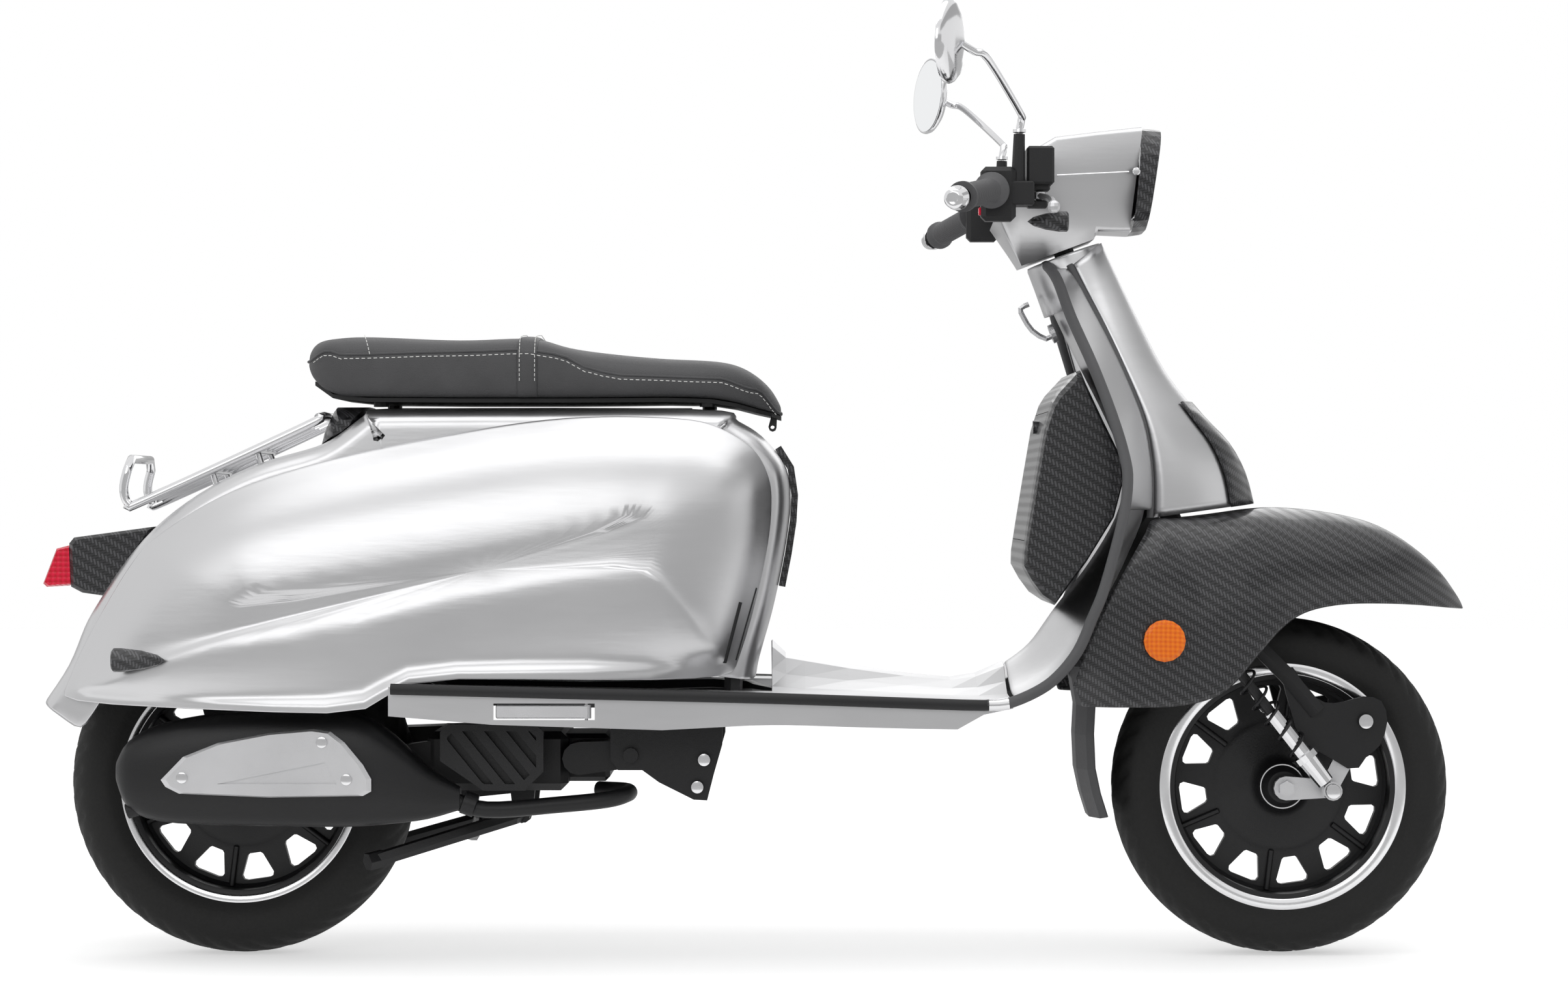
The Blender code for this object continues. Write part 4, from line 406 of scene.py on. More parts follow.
def spun(profile, base, axis, sides=64, ring=False):
    """Surface of revolution from (radius, distance along the axis) pairs."""
    turn = Vector(axis).normalized().to_track_quat("Z", "Y").to_matrix().to_4x4()
    bm = bmesh.new()
    rows = []
    for r, h in profile:
        rows.append([bm.verts.new((r * math.cos(2 * math.pi * n / sides),
                                   r * math.sin(2 * math.pi * n / sides), h))
                     for n in range(sides)])
    pairs = list(zip(rows, rows[1:]))
    if ring:
        pairs.append((rows[-1], rows[0]))
    for low, high in pairs:
        for n in range(sides):
            m = (n + 1) % sides
            bm.faces.new((low[n], low[m], high[m], high[n]))
    bmesh.ops.remove_doubles(bm, verts=bm.verts, dist=1e-6)
    bmesh.ops.dissolve_degenerate(bm, edges=bm.edges, dist=1e-6)
    bmesh.ops.transform(bm, verts=bm.verts, matrix=Matrix.Translation(Vector(base)) @ turn)
    bmesh.ops.recalc_face_normals(bm, faces=bm.faces)
    return bm


def bar(points, radius, sides=12, cyclic=False):
    """Round bar along a line of points, as a mesh."""
    points = [Vector(p) for p in points]
    count = len(points)
    bm = bmesh.new()
    rings = []
    across = None
    for n, p in enumerate(points):
        a = points[(n - 1) % count] if cyclic else points[max(n - 1, 0)]
        b = points[(n + 1) % count] if cyclic else points[min(n + 1, count - 1)]
        way = (b - a).normalized()
        across = way.orthogonal() if across is None else across - way * across.dot(way)
        across.normalize()
        other = way.cross(across)
        rings.append([bm.verts.new(p + (across * math.cos(2 * math.pi * k / sides)
                                        + other * math.sin(2 * math.pi * k / sides)) * radius)
                      for k in range(sides)])
    pairs = list(zip(rings, rings[1:])) + ([(rings[-1], rings[0])] if cyclic else [])
    for low, high in pairs:
        for k in range(sides):
            m = (k + 1) % sides
            bm.faces.new((low[k], low[m], high[m], high[k]))
    if not cyclic:
        bm.faces.new(rings[0][::-1])
        bm.faces.new(rings[-1])
    bmesh.ops.recalc_face_normals(bm, faces=bm.faces)
    return bm


def joined(*parts):
    """Several meshes as one, side by side."""
    whole = bmesh.new()
    for bm in parts:
        mesh = meshed("part", bm)
        whole.from_mesh(mesh)
        bpy.data.meshes.remove(mesh)
    return whole


def mirrored(bm, side):
    if side > 0:
        bmesh.ops.scale(bm, vec=(1, -1, 1), verts=bm.verts)
        bmesh.ops.reverse_faces(bm, faces=bm.faces)
    return bm


SIDES = ((-1, "right"), (1, "left"))

# %% [markdown]
# ## Camera, floor and light
# A long lens from the rider's right, level with the middle of the scooter, with broad soft
# lamps that give the silver panels long gradients. The surroundings look white to the
# camera, and a few matt cards that only gloss sees give the bright metal something to show.

# %% Camera and lamps
camera_data = bpy.data.cameras.new("camera")
camera_data.lens = 82.8
camera_data.sensor_width = 36.0
camera = linked("camera", camera_data)
camera.location = (0.0376, -4.9, 0.616)
camera.rotation_euler = (math.radians(90), 0, 0)
bpy.context.scene.camera = camera


def softbox(name, place_at, aim, size, power):
    data = bpy.data.lights.new(name, "AREA")
    data.shape = "RECTANGLE"
    data.size, data.size_y = size
    data.energy = power
    lamp = linked(name, data)
    lamp.location = place_at
    lamp.rotation_euler = (Vector(aim) - Vector(place_at)).to_track_quat("-Z", "Y").to_euler()


softbox("over", (0.0, -0.6, 3.4), (0.0, 0.0, 0.5), (4.0, 3.0), 40.0)
softbox("front_side", (-1.2, -3.6, 1.9), (0.0, 0.0, 0.55), (2.6, 1.6), 18.0)
softbox("far_side", (0.8, 3.4, 2.2), (0.0, 0.0, 0.6), (3.0, 2.0), 15.0)

# %% Rays that should see a white studio: the camera's, and those of gloss and glass
def looked_at(tree):
    path = tree.nodes.new("ShaderNodeLightPath")
    camera_ray, glossy, through = (Signal(tree, path.outputs[name]) for name in (
        "Is Camera Ray", "Is Glossy Ray", "Is Transmission Ray"))
    return camera_ray.node("MAXIMUM", glossy).node("MAXIMUM", through)


# %% Floor: pale and matt, lifted to white where it is looked at, with its shadows kept
def floor_finish():
    made, tree, shader = finish("pale_floor", (0.80, 0.80, 0.80), 0.0, 0.9)
    lift = tree.nodes.new("ShaderNodeEmission")
    lift.inputs["Color"].default_value = (1, 1, 1, 1)
    lift.inputs["Strength"].default_value = 0.49
    both = tree.nodes.new("ShaderNodeAddShader")
    pick = tree.nodes.new("ShaderNodeMixShader")
    output = tree.nodes["Material Output"]
    tree.links.new(shader.outputs[0], both.inputs[0])
    tree.links.new(lift.outputs[0], both.inputs[1])
    tree.links.new(looked_at(tree).socket, pick.inputs[0])
    tree.links.new(shader.outputs[0], pick.inputs[1])
    tree.links.new(both.outputs[0], pick.inputs[2])
    tree.links.new(pick.outputs[0], output.inputs["Surface"])
    return made


# %% Floor and surroundings
floor_bm = bmesh.new()
bmesh.ops.create_grid(floor_bm, x_segments=2, y_segments=2, size=12.0)
floor = linked("floor", meshed("floor", floor_bm))
floor.location.z = -0.0005
floor.data.materials.append(floor_finish())


def studio_card(name, corners, grey):
    """A matt card that only gloss sees, so that bright metal has something dark to show."""
    bm = bmesh.new()
    bm.faces.new([bm.verts.new(c) for c in corners])
    made, _, shader = finish(name, (0.0, 0.0, 0.0), 0.0, 1.0, Specular_IOR_Level=0.0)
    shader.inputs["Emission Color"].default_value = (grey, grey, grey, 1.0)
    shader.inputs["Emission Strength"].default_value = 1.0
    card = linked(name, meshed(name, bm))
    card.data.materials.append(made)
    card.visible_camera = False
    card.visible_diffuse = False
    card.visible_shadow = False


studio_card("low_card_right", [(-9, -7, -0.2), (9, -7, -0.2), (9, -7, 2.1), (-9, -7, 2.1)], 0.56)
studio_card("low_card_left", [(9, 7, -0.2), (-9, 7, -0.2), (-9, 7, 2.1), (9, 7, 2.1)], 0.56)
studio_card("low_mat_right", [(-9, -7, 0.001), (9, -7, 0.001), (9, -1.2, 0.001),
                              (-9, -1.2, 0.001)], 0.60)
studio_card("low_mat_left", [(9, 7, 0.001), (-9, 7, 0.001), (-9, 1.2, 0.001),
                             (9, 1.2, 0.001)], 0.60)
studio_card("high_card_front", [(7, -9, 3.4), (7, 9, 3.4), (7, 9, 6.0), (7, -9, 6.0)], 0.50)

world = bpy.data.worlds.new("studio")
bpy.context.scene.world = world
world.use_nodes = True
tree = world.node_tree
tree.nodes.clear()
output = tree.nodes.new("ShaderNodeOutputWorld")
plain = tree.nodes.new("ShaderNodeBackground")
plain.inputs["Color"].default_value = (1, 1, 1, 1)
plain.inputs["Strength"].default_value = 0.62
seen = tree.nodes.new("ShaderNodeBackground")
seen.inputs["Color"].default_value = (1, 1, 1, 1)
seen.inputs["Strength"].default_value = 1.0
pick = tree.nodes.new("ShaderNodeMixShader")
tree.links.new(looked_at(tree).socket, pick.inputs[0])
tree.links.new(plain.outputs[0], pick.inputs[1])
tree.links.new(seen.outputs[0], pick.inputs[2])
tree.links.new(pick.outputs[0], output.inputs["Surface"])
bpy.context.scene.view_settings.view_transform = "Standard"

# %% [markdown]
# ## Wheels
# The tyre is one spun profile with its tread cut as a pattern of sunk vertices. The rim is
# spun too, with its windows cut through the disc and a bright ring on each lip.


# %% Tyres with cut tread
TREAD_BLOCKS = 44
GROOVE_DEPTH = 0.0032
TYRE_SIDES = TREAD_BLOCKS * 6
RIM_LIP_RADIUS = 0.1700
SIDE_WALL_RISE = 0.025
SIDE_WALL_DROP = 0.060


def wheel_facts(word):
    low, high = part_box(word + "_tyre")
    centre = (low + high) / 2
    radius = (high.x - low.x) / 2
    return centre, radius, (high.y - low.y) / 2


def tread_depth(angle, y, half):
    """How far the tread sinks at a place: slanted grooves, staggered between the two halves, that
    stop short of the middle.
    """
    turn = angle / (2 * math.pi) * TREAD_BLOCKS
    slant = (turn + abs(y) / half * 2.1 + (0.5 if y > 0 else 0.0)) % 1.0
    groove = GROOVE_DEPTH if slant < 0.30 and abs(y) > half * 0.10 else 0.0
    return groove if abs(y) < half * 0.86 else 0.0


def tyre_piece(word, body):
    centre, radius, half = wheel_facts(word)
    lip = RIM_LIP_RADIUS
    reach = radius * 0.996 - lip - SIDE_WALL_RISE
    bead = half * 0.70
    profile = [(lip - 0.017, -bead + 0.004)]
    for n in range(25):
        t = math.radians(lerp(-112, 112, n / 24))
        rise = (reach if math.cos(t) > 0 else SIDE_WALL_DROP) * math.cos(t)
        profile.append((lip + SIDE_WALL_RISE + rise,
                        half * 0.99 * math.copysign(abs(math.sin(t)) ** 0.9, t)))
    profile += [(lip - 0.017, bead - 0.004)]
    bm = bmesh.new()
    rows = []
    for n in range(TYRE_SIDES):
        a = 2 * math.pi * n / TYRE_SIDES
        row = []
        for r, y in profile:
            r -= tread_depth(a, y, half) if r > radius - 0.030 else 0.0
            row.append(bm.verts.new((centre.x + r * math.cos(a), y,
                                     centre.z + r * math.sin(a))))
        rows.append(row)
    for n in range(TYRE_SIDES):
        low, high = rows[n], rows[(n + 1) % TYRE_SIDES]
        for k in range(len(profile)):
            m = (k + 1) % len(profile)
            bm.faces.new((low[k], low[m], high[m], high[k]))
    bmesh.ops.recalc_face_normals(bm, faces=bm.faces)
    piece(word + "_tyre_tread", bm, "tyre", body, (word + "_tyre",))


tyre_piece("front", "front_wheel")
tyre_piece("rear", "rear_wheel")


# %% Rims with windows, ribs and bright lips
WINDOWS = 12


def rim_piece(word, body):
    """The disc with its windows, a ring on each lip and hub face, and the ribs between."""
    low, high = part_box(word + "_rim")
    centre = (low + high) / 2
    half, lip = 0.043, 0.169
    profile = [(0.0085, -0.056), (0.021, -0.056), (0.0225, -0.0545), (0.034, -0.030),
               (0.044, -0.019), (0.082, -0.0115), (0.088, -0.0095), (0.094, -0.0065),
               (0.140, -0.0055), (0.1445, -0.010), (0.1450, -half + 0.003), (0.152, -half),
               (lip - 0.002, -half), (lip, -half + 0.0012), (lip - 0.001, -half + 0.003),
               (0.1500, -half + 0.004)]
    profile += [(r, -y) for r, y in profile[::-1]]
    wheel = spun(profile, centre, (0, 1, 0), 96, ring=True)
    blank = linked("rim_blank", meshed("rim_blank", wheel))
    cutter_bm = bmesh.new()
    for n in range(WINDOWS):
        angle = 2 * math.pi * (n + 0.27) / WINDOWS
        corners = [(0.0990, -0.0075), (0.0990, 0.0075), (0.1015, 0.0105), (0.1275, 0.0215),
                   (0.1325, 0.0200), (0.1345, 0.0150), (0.1345, -0.0150), (0.1325, -0.0200),
                   (0.1275, -0.0215), (0.1015, -0.0105)]
        ring = [(centre.x + r * math.cos(angle) - t * math.sin(angle),
                 centre.z + r * math.sin(angle) + t * math.cos(angle)) for r, t in corners]
        near = [cutter_bm.verts.new((x, -0.02, z)) for x, z in ring]
        far = [cutter_bm.verts.new((x, 0.02, z)) for x, z in ring]
        cutter_bm.faces.new(near)
        cutter_bm.faces.new(far[::-1])
        for k in range(len(ring)):
            m = (k + 1) % len(ring)
            cutter_bm.faces.new((near[m], near[k], far[k], far[m]))
    bmesh.ops.recalc_face_normals(cutter_bm, faces=cutter_bm.faces)
    cutter = linked("windows", meshed("windows", cutter_bm))
    step = blank.modifiers.new("windows", "BOOLEAN")
    step.operation = "DIFFERENCE"
    step.solver = "EXACT"
    step.object = cutter
    graph = bpy.context.evaluated_depsgraph_get()
    bm = bmesh.new()
    bm.from_mesh(bpy.data.meshes.new_from_object(blank.evaluated_get(graph)))
    bpy.data.objects.remove(blank, do_unlink=True)
    bpy.data.objects.remove(cutter, do_unlink=True)
    rim = piece(word + "_rim_disc", bm, "black_metal", body, (word + "_rim",))
    soft = rim.modifiers.new("soft_edges", "BEVEL")
    soft.width = 0.0008
    soft.segments = 2
    soft.limit_method = "ANGLE"
    soft.angle_limit = math.radians(40)
    rings = []
    for side in (-1, 1):
        y = centre.y + side * (half + 0.0004)
        rings.append(spun([(0.1515, 0), (0.1535, -0.0016), (0.160, -0.0022), (0.167, -0.0016),
                           (0.1688, 0.0), (0.167, 0.0010), (0.1535, 0.0010)],
                          (centre.x, y, centre.z), (0, -side, 0), 128, ring=True))
        rings.append(spun([(0.0115, 0.0), (0.030, 0.0), (0.0310, 0.0015), (0.030, 0.0030),
                           (0.0115, 0.0030)],
                          (centre.x, centre.y + side * 0.0385, centre.z), (0, side, 0), 48,
                          ring=True))
    piece(word + "_rim_lips", joined(*rings), "chrome", body, material=lip_metal)
    ribs = []
    for n in range(0, WINDOWS, 2):
        angle = 2 * math.pi * (n + 0.77) / WINDOWS
        out = Vector((math.cos(angle), 0, math.sin(angle)))
        for side in (-1, 1):
            a = centre + out * 0.0900 + Vector((0, side * 0.0085, 0))
            b = centre + out * 0.1430 + Vector((0, side * 0.0090, 0))
            ribs.append(bar([a, a.lerp(b, 0.5), b], 0.0040, 10))
    piece(word + "_rim_ribs", joined(*ribs), "black_metal", body)


rim_piece("front", "front_wheel")
rim_piece("rear", "rear_wheel")

# %% [markdown]
# ## Silver bodywork
# Each panel repeats the frame's own stations, with a smooth curve between them and
# subdivision on top, so highlights run without facets.

# %% Rear body arch
PANEL_WALL = 0.0025
SPINE_HALF_WIDTH = 0.150
BODY_LINE = [(-0.946, 0.349), (-0.913, 0.397), (-0.894, 0.447), (-0.872, 0.485),
             (-0.836, 0.539), (-0.790, 0.589), (-0.724, 0.6355), (-0.653, 0.668),
             (-0.585, 0.686), (-0.550, 0.7065), (-0.516, 0.732), (-0.480, 0.737),
             (-0.060, 0.737), (-0.032, 0.7235), (0.000, 0.7066), (0.0255, 0.681),
             (0.0420, 0.655), (0.0470, 0.620), (0.0450, 0.585), (0.0385, 0.542),
             (0.0300, 0.4985), (0.0200, 0.4550), (0.0040, 0.4000), (0.0000, 0.3750)]


def inset(outline, depth):
    """An outline moved inward, square to its own direction at each point."""
    moved = []
    for n, point in enumerate(outline):
        before = Vector(outline[max(n - 1, 0)])
        after = Vector(outline[min(n + 1, len(outline) - 1)])
        way = (after - before).normalized()
        moved.append((point[0] + way.y * depth, point[1] - way.x * depth))
    return moved


def body_arch():
    line = smooth(BODY_LINE, 2)
    stations = [(1.0, 0.072), (1.0, 0.046), (1.0, 0.030), (1.0, 0.021), (0.97, 0.0145),
                (0.91, 0.009), (0.84, 0.0055), (0.74, 0.003), (0.45, 0.0004), (0.0, 0.0)]
    rows = [[] for _ in line]
    for share, depth in stations:
        for row, (x, z) in zip(rows, inset(line, depth)):
            row.append((x, -share * SPINE_HALF_WIDTH, z))
    rows = [both_sides(row) for row in rows]
    piece("rear_body_arch", facing(skin(rows), (-0.4, 0, 0.45)), "silver",
          "chassis", ("body_shell",), wall=PANEL_WALL, levels=1)


body_arch()

# %% [markdown]
# ### Side panels
# Each panel is a fan of rows that shrink from its outline towards a spine. How far a point
# stands out depends on its distance from the rolled upper edge, softened so that the two
# sides of the outline don't meet in a crease.

# %% Side panels: an outline, the spine it shrinks to, and a bulge away from its edge
BODY_HALF_WIDTH = 0.235
TAIL_NARROWING = 0.068
PANEL_TOP = [(-0.915, 0.3485), (-0.896, 0.397), (-0.873, 0.444), (-0.822, 0.530),
             (-0.779, 0.573), (-0.685, 0.628), (-0.552, 0.6695), (-0.412, 0.6990),
             (-0.293, 0.7180), (-0.200, 0.7240), (-0.110, 0.7220), (-0.055, 0.7130),
             (-0.004, 0.6830), (0.0185, 0.6430), (0.0220, 0.6050), (0.0175, 0.5565),
             (0.0040, 0.4920), (-0.0120, 0.4320), (-0.0300, 0.3800)]
PANEL_FOOT = [(-0.120, 0.3790), (-0.300, 0.3810), (-0.474, 0.3840), (-0.482, 0.3340),
              (-0.620, 0.3380), (-0.780, 0.3430)]
PANEL_SPINE = ((-0.640, 0.455), (-0.160, 0.560))
PANEL_SHARES = (0.0, 0.012, 0.028, 0.05, 0.085, 0.13, 0.19, 0.27, 0.38, 0.52, 0.70, 0.88)


def panel_half_width(x):
    """Half of the body's width at its fullest, which narrows towards the tail."""
    back = max(0.0, (-0.52 - x) / 0.40)
    return BODY_HALF_WIDTH - TAIL_NARROWING * back ** 1.8


def panel_bulge(x, z, samples):
    """Share of the full width at a place, from how far it is from the rolled edge."""
    gaps = [((x - a) ** 2 + (z - b) ** 2, w) for a, b, w in samples]
    nearest = math.sqrt(min(gap for gap, _ in gaps))
    if nearest < 1e-5:
        return 0.0
    total = sum(w * max(gap, 1e-6) ** -3 for gap, w in gaps)
    soft = (total / 1.178) ** -0.2
    blend = smoothstep((nearest - 0.02) / 0.03)
    reach = lerp(0.105, 0.20, smoothstep((x + 0.90) / 0.35))
    distance = lerp(nearest, soft, blend)
    return 1 - (1 - min(distance / reach, 1.0)) ** 3.0


def rounded(point):
    return tuple(round(c, 5) for c in point)


def side_panel(side, word):
    rim_y = SPINE_HALF_WIDTH + 0.0031
    a, b = (Vector(p) for p in PANEL_SPINE)
    top = smooth(PANEL_TOP, 3)
    dense = smooth(PANEL_TOP, 24)
    samples = [((p[0] + q[0]) / 2, (p[1] + q[1]) / 2, math.dist(p, q))
               for p, q in zip(dense, dense[1:])]
    outline = top + PANEL_FOOT
    rows = []
    for number, share in enumerate(PANEL_SHARES):
        row = []
        for n, point in enumerate(outline):
            p = Vector(point)
            t = min(max((p - a).dot(b - a) / (b - a).length_squared, 0.0), 1.0)
            q = p.lerp(a.lerp(b, t), share)
            edge = number == 0 and n < len(top)
            rise = 0.0 if edge else panel_bulge(q.x, q.y, samples)
            row.append((q.x, -lerp(rim_y, panel_half_width(q.x), rise), q.y))
        rows.append(row)
    bm = skin(rows, closed=True)
    last = {rounded(p) for p in rows[-1]}
    rim = [e for e in bm.edges if e.is_boundary and all(rounded(v.co) in last for v in e.verts)]
    bmesh.ops.contextual_create(bm, geom=rim)
    inner = {rounded(p) for row in rows[5:] for p in row}
    field = [v for v in bm.verts if rounded(v.co) in inner]
    for _ in range(12):
        bmesh.ops.smooth_vert(bm, verts=field, factor=0.5, use_axis_y=True)
    facing(bm, (-0.4, 0, 0.5))
    piece("side_panel_skin_" + word, mirrored(bm, side), "silver", "chassis",
          ("side_panel_" + word,), wall=PANEL_WALL, levels=1)
    foot = [(-0.817, side * y, 0.4056) for y in (0.206, 0.194, 0.180)]
    piece("indicator_foot_" + word, bar(foot, 0.0068, 20), "carbon", "chassis")


for side, word in SIDES:
    side_panel(side, word)

# %% [markdown]
# ### Leg shield and horncast
# Both come from rows of points up the scooter. A shield row runs from the edge over a fold
# to the middle. A horncast row has a point on the joint and one on the nose, and a rounded
# section between them, so the grille can be the same surface a few millimetres further out.

# %% Leg shield and horncast
SHIELD_TOP = (0.3935, 0.050, 0.9260)
SHIELD_ROWS = [
    ((0.3375, 0.2478, 0.3550), (0.3375, 0.120, 0.3585), (0.3375, 0.0, 0.3975)),
    ((0.3620, 0.2478, 0.3655), (0.3640, 0.120, 0.3720), (0.3560, 0.0, 0.4110)),
    ((0.3900, 0.2450, 0.3850), (0.3960, 0.120, 0.3960), (0.3740, 0.0, 0.4290)),
    ((0.4170, 0.2420, 0.4180), (0.4280, 0.120, 0.4320), (0.3980, 0.0, 0.4660)),
    ((0.4360, 0.2380, 0.4600), (0.4560, 0.120, 0.4700), (0.4250, 0.0, 0.5000)),
    ((0.4525, 0.2400, 0.5020), (0.4820, 0.120, 0.5080), (0.4480, 0.0, 0.5300)),
    ((0.4750, 0.2400, 0.5860), (0.5200, 0.120, 0.5860), (0.4860, 0.0, 0.5900)),
    ((0.4820, 0.2380, 0.6370), (0.5235, 0.120, 0.6370), (0.4980, 0.0, 0.6400)),
    ((0.4786, 0.2300, 0.6700), (0.5205, 0.118, 0.6700), (0.4950, 0.0, 0.6700)),
    ((0.4650, 0.2120, 0.7210), (0.5120, 0.112, 0.7210), (0.4720, 0.0, 0.7210)),
    ((0.4430, 0.1750, 0.7880), (0.4880, 0.098, 0.7880), (0.4360, 0.0, 0.7880)),
    ((0.4180, 0.1220, 0.8555), (0.4575, 0.080, 0.8555), (0.4020, 0.0, 0.8555)),
    ((0.4030, 0.0880, 0.9050), (0.4320, 0.062, 0.9050), (0.3800, 0.0, 0.9050))]


def leg_shield():
    rows = []
    for edge, fold, middle in SHIELD_ROWS:
        e, f, m = (Vector((x, -y, z)) for x, y, z in (edge, fold, middle))
        start = e + (f - e).normalized() * 0.0085
        rows.append(both_sides([tuple(p) for p in (start, start.lerp(f, 0.5), f,
                                                   f.lerp(m, 0.55), m)]))
    columns = [smooth(list(column), 2) for column in zip(*rows)]
    rows = [list(row) for row in zip(*columns)]
    piece("leg_shield_skin", facing(skin(rows), (0.2, 0, 0.62)), "silver", "chassis",
          ("leg_shield",), wall=0.002, levels=1)


HORN_ROWS = [
    ((0.4250, 0.056, 0.9290), (0.4680, 0.9620)), ((0.4410, 0.063, 0.8960), (0.4870, 0.9210)),
    ((0.4660, 0.082, 0.8450), (0.5210, 0.8500)), ((0.4920, 0.098, 0.7860), (0.5560, 0.7840)),
    ((0.5155, 0.111, 0.7240), (0.6000, 0.7290)), ((0.5240, 0.116, 0.6800), (0.6360, 0.6910)),
    ((0.5275, 0.119, 0.6370), (0.6580, 0.6510)), ((0.5265, 0.120, 0.5900), (0.6695, 0.6090))]


def horn_section(joint, nose, spread=0.0, count=11):
    """A rounded section from the joint on the right, over the nose, to the joint on the left."""
    half = []
    for n in range(count):
        t = math.radians(90 * n / (count - 1))
        along, across = math.sin(t) ** 1.1, max(math.cos(t), 0.0) ** 0.75
        half.append((lerp(joint[0], nose[0], along) + spread * along,
                     -(joint[1] + spread) * across if n < count - 1 else 0.0,
                     lerp(joint[2], nose[1], along)))
    return both_sides(half)


def horn_lines():
    joints = smooth([joint for joint, _ in HORN_ROWS], 3)
    noses = smooth([nose for _, nose in HORN_ROWS], 3)
    return list(zip(joints, noses))


leg_shield()
piece("horncast_skin", facing(skin([horn_section(*row) for row in horn_lines()]),
                              (0.47, 0, 0.72)),
      "silver", "chassis", ("horncast",), wall=PANEL_WALL)
grille_rows = [horn_section(joint, nose, 0.0045, 21)[11:-11] for joint, nose in
               horn_lines()[11:22]]
piece("horn_grille_skin", facing(skin(grille_rows), (0.47, 0, 0.72)), "carbon", "chassis",
      ("horn_grille",), wall=0.0026)

# %% [markdown]
# ### Front mudguard
# Each row is a quadratic curve from the upper line to the lower one. Its middle point lies
# out at the side and just under the upper line, which rounds the shoulder.

# %% Front mudguard in carbon
GUARD_ROWS = [
    ((0.4120, 0.2180, 0.3700), (0.4250, 0.2060, 0.3440)),
    ((0.4330, 0.2200, 0.4240), (0.4600, 0.2040, 0.3425)),
    ((0.4610, 0.2120, 0.4840), (0.5000, 0.2000, 0.3420)),
    ((0.4900, 0.1880, 0.5360), (0.5450, 0.1950, 0.3425)),
    ((0.5140, 0.1520, 0.5730), (0.5900, 0.1890, 0.3500)),
    ((0.5271, 0.1205, 0.5894), (0.6240, 0.1820, 0.3680)),
    ((0.5800, 0.1120, 0.5900), (0.6560, 0.1730, 0.4040)),
    ((0.6300, 0.0850, 0.5960), (0.6900, 0.1600, 0.4410)),
    ((0.6760, 0.0400, 0.6030), (0.7250, 0.1450, 0.4640)),
    ((0.7200, 0.0000, 0.6035), (0.7750, 0.1240, 0.4740)),
    ((0.7880, 0.0000, 0.5950), (0.8300, 0.1020, 0.4750)),
    ((0.8500, 0.0000, 0.5760), (0.8850, 0.0760, 0.4725)),
    ((0.9150, 0.0000, 0.5290), (0.9330, 0.0400, 0.4680)),
    ((0.9500, 0.0000, 0.4820), (0.9600, 0.0080, 0.4660))]


def mudguard():
    uppers = smooth([upper for upper, _ in GUARD_ROWS], 3)
    lowers = smooth([lower for _, lower in GUARD_ROWS], 3)
    halves = []
    for side in (-1, 1):
        rows = []
        for upper, lower in zip(uppers, lowers):
            a, b = Vector(upper), Vector(lower)
            a.y = max(a.y, 0.0)
            crown = Vector(((a.x + b.x) / 2, max(b.y * 1.06, a.y), lerp(a.z, b.z, 0.06)))
            row = []
            for n in range(15):
                t = n / 14
                p = a * (1 - t) ** 2 + crown * (2 * t * (1 - t)) + b * t * t
                row.append((p.x, side * p.y, p.z))
            rows.append(row)
        halves.append(skin(rows))
    bm = joined(*halves)
    bmesh.ops.remove_doubles(bm, verts=bm.verts, dist=1e-4)
    bmesh.ops.recalc_face_normals(bm, faces=bm.faces)
    piece("mudguard_skin", facing(bm, (0.66, 0, 0.36)), "carbon", "chassis",
          ("front_mudguard",), wall=PANEL_WALL, levels=1)


mudguard()

# %% [markdown]
# ## Seat
# A foam pad under stretched leather: straight side walls, a rolled seam with beading, a
# crowned top that dips in the middle, a sewn strap and pale thread on each side of it.

# %% Seat cushion
SEAT_STATIONS = [
    (-0.599, 0.784, 0.812, 0.52), (-0.588, 0.766, 0.8255, 0.74), (-0.562, 0.7485, 0.8310, 0.90),
    (-0.516, 0.7435, 0.8332, 0.985), (-0.396, 0.7425, 0.8280, 1.0), (-0.300, 0.7425, 0.8310, 1.0),
    (-0.250, 0.7425, 0.8177, 0.985), (-0.180, 0.7430, 0.8091, 0.94),
    (-0.120, 0.7437, 0.8039, 0.89), (-0.060, 0.7425, 0.8013, 0.80),
    (-0.026, 0.7370, 0.7953, 0.71), (0.000, 0.7300, 0.7816, 0.59),
    (0.021, 0.7250, 0.7618, 0.43), (0.034, 0.7210, 0.7386, 0.22)]
SEAT_HALF_WIDTH = 0.140
SEAM = ((-0.599, 0.798), (-0.568, 0.811), (-0.546, 0.8055), (-0.396, 0.809), (-0.30, 0.812),
        (-0.267, 0.8065), (-0.207, 0.783), (-0.172, 0.778), (-0.052, 0.775), (0.0, 0.761),
        (0.034, 0.7300))


def along(table, x):
    """Value of an (x, value) table at a place, eased between its entries."""
    for a, b in zip(table, table[1:]):
        if a[0] <= x <= b[0]:
            return lerp(a[1], b[1], smoothstep((x - a[0]) / (b[0] - a[0])))
    return table[-1][1] if x > table[-1][0] else table[0][1]


def seat_ring(station, swell=0.0):
    """Half section from the underside round the wall and seam to the middle of the top."""
    x, low, top, share = station
    w = SEAT_HALF_WIDTH * share + swell
    base, seam = low + 0.006, min(along(SEAM, x), top - 0.006)
    return [(x, -w * s, z) for s, z in (
        (0.50, base), (0.86, base), (0.945, base + 0.003), (0.975, lerp(base, seam, 0.35)),
        (0.985, lerp(base, seam, 0.70)), (0.975, seam - 0.002), (0.955, seam),
        (0.945, lerp(seam, top, 0.22)), (0.88, lerp(seam, top, 0.56)),
        (0.72, lerp(seam, top, 0.84)), (0.45, lerp(seam, top, 0.97)))] + [(x, 0.0, top + swell)]


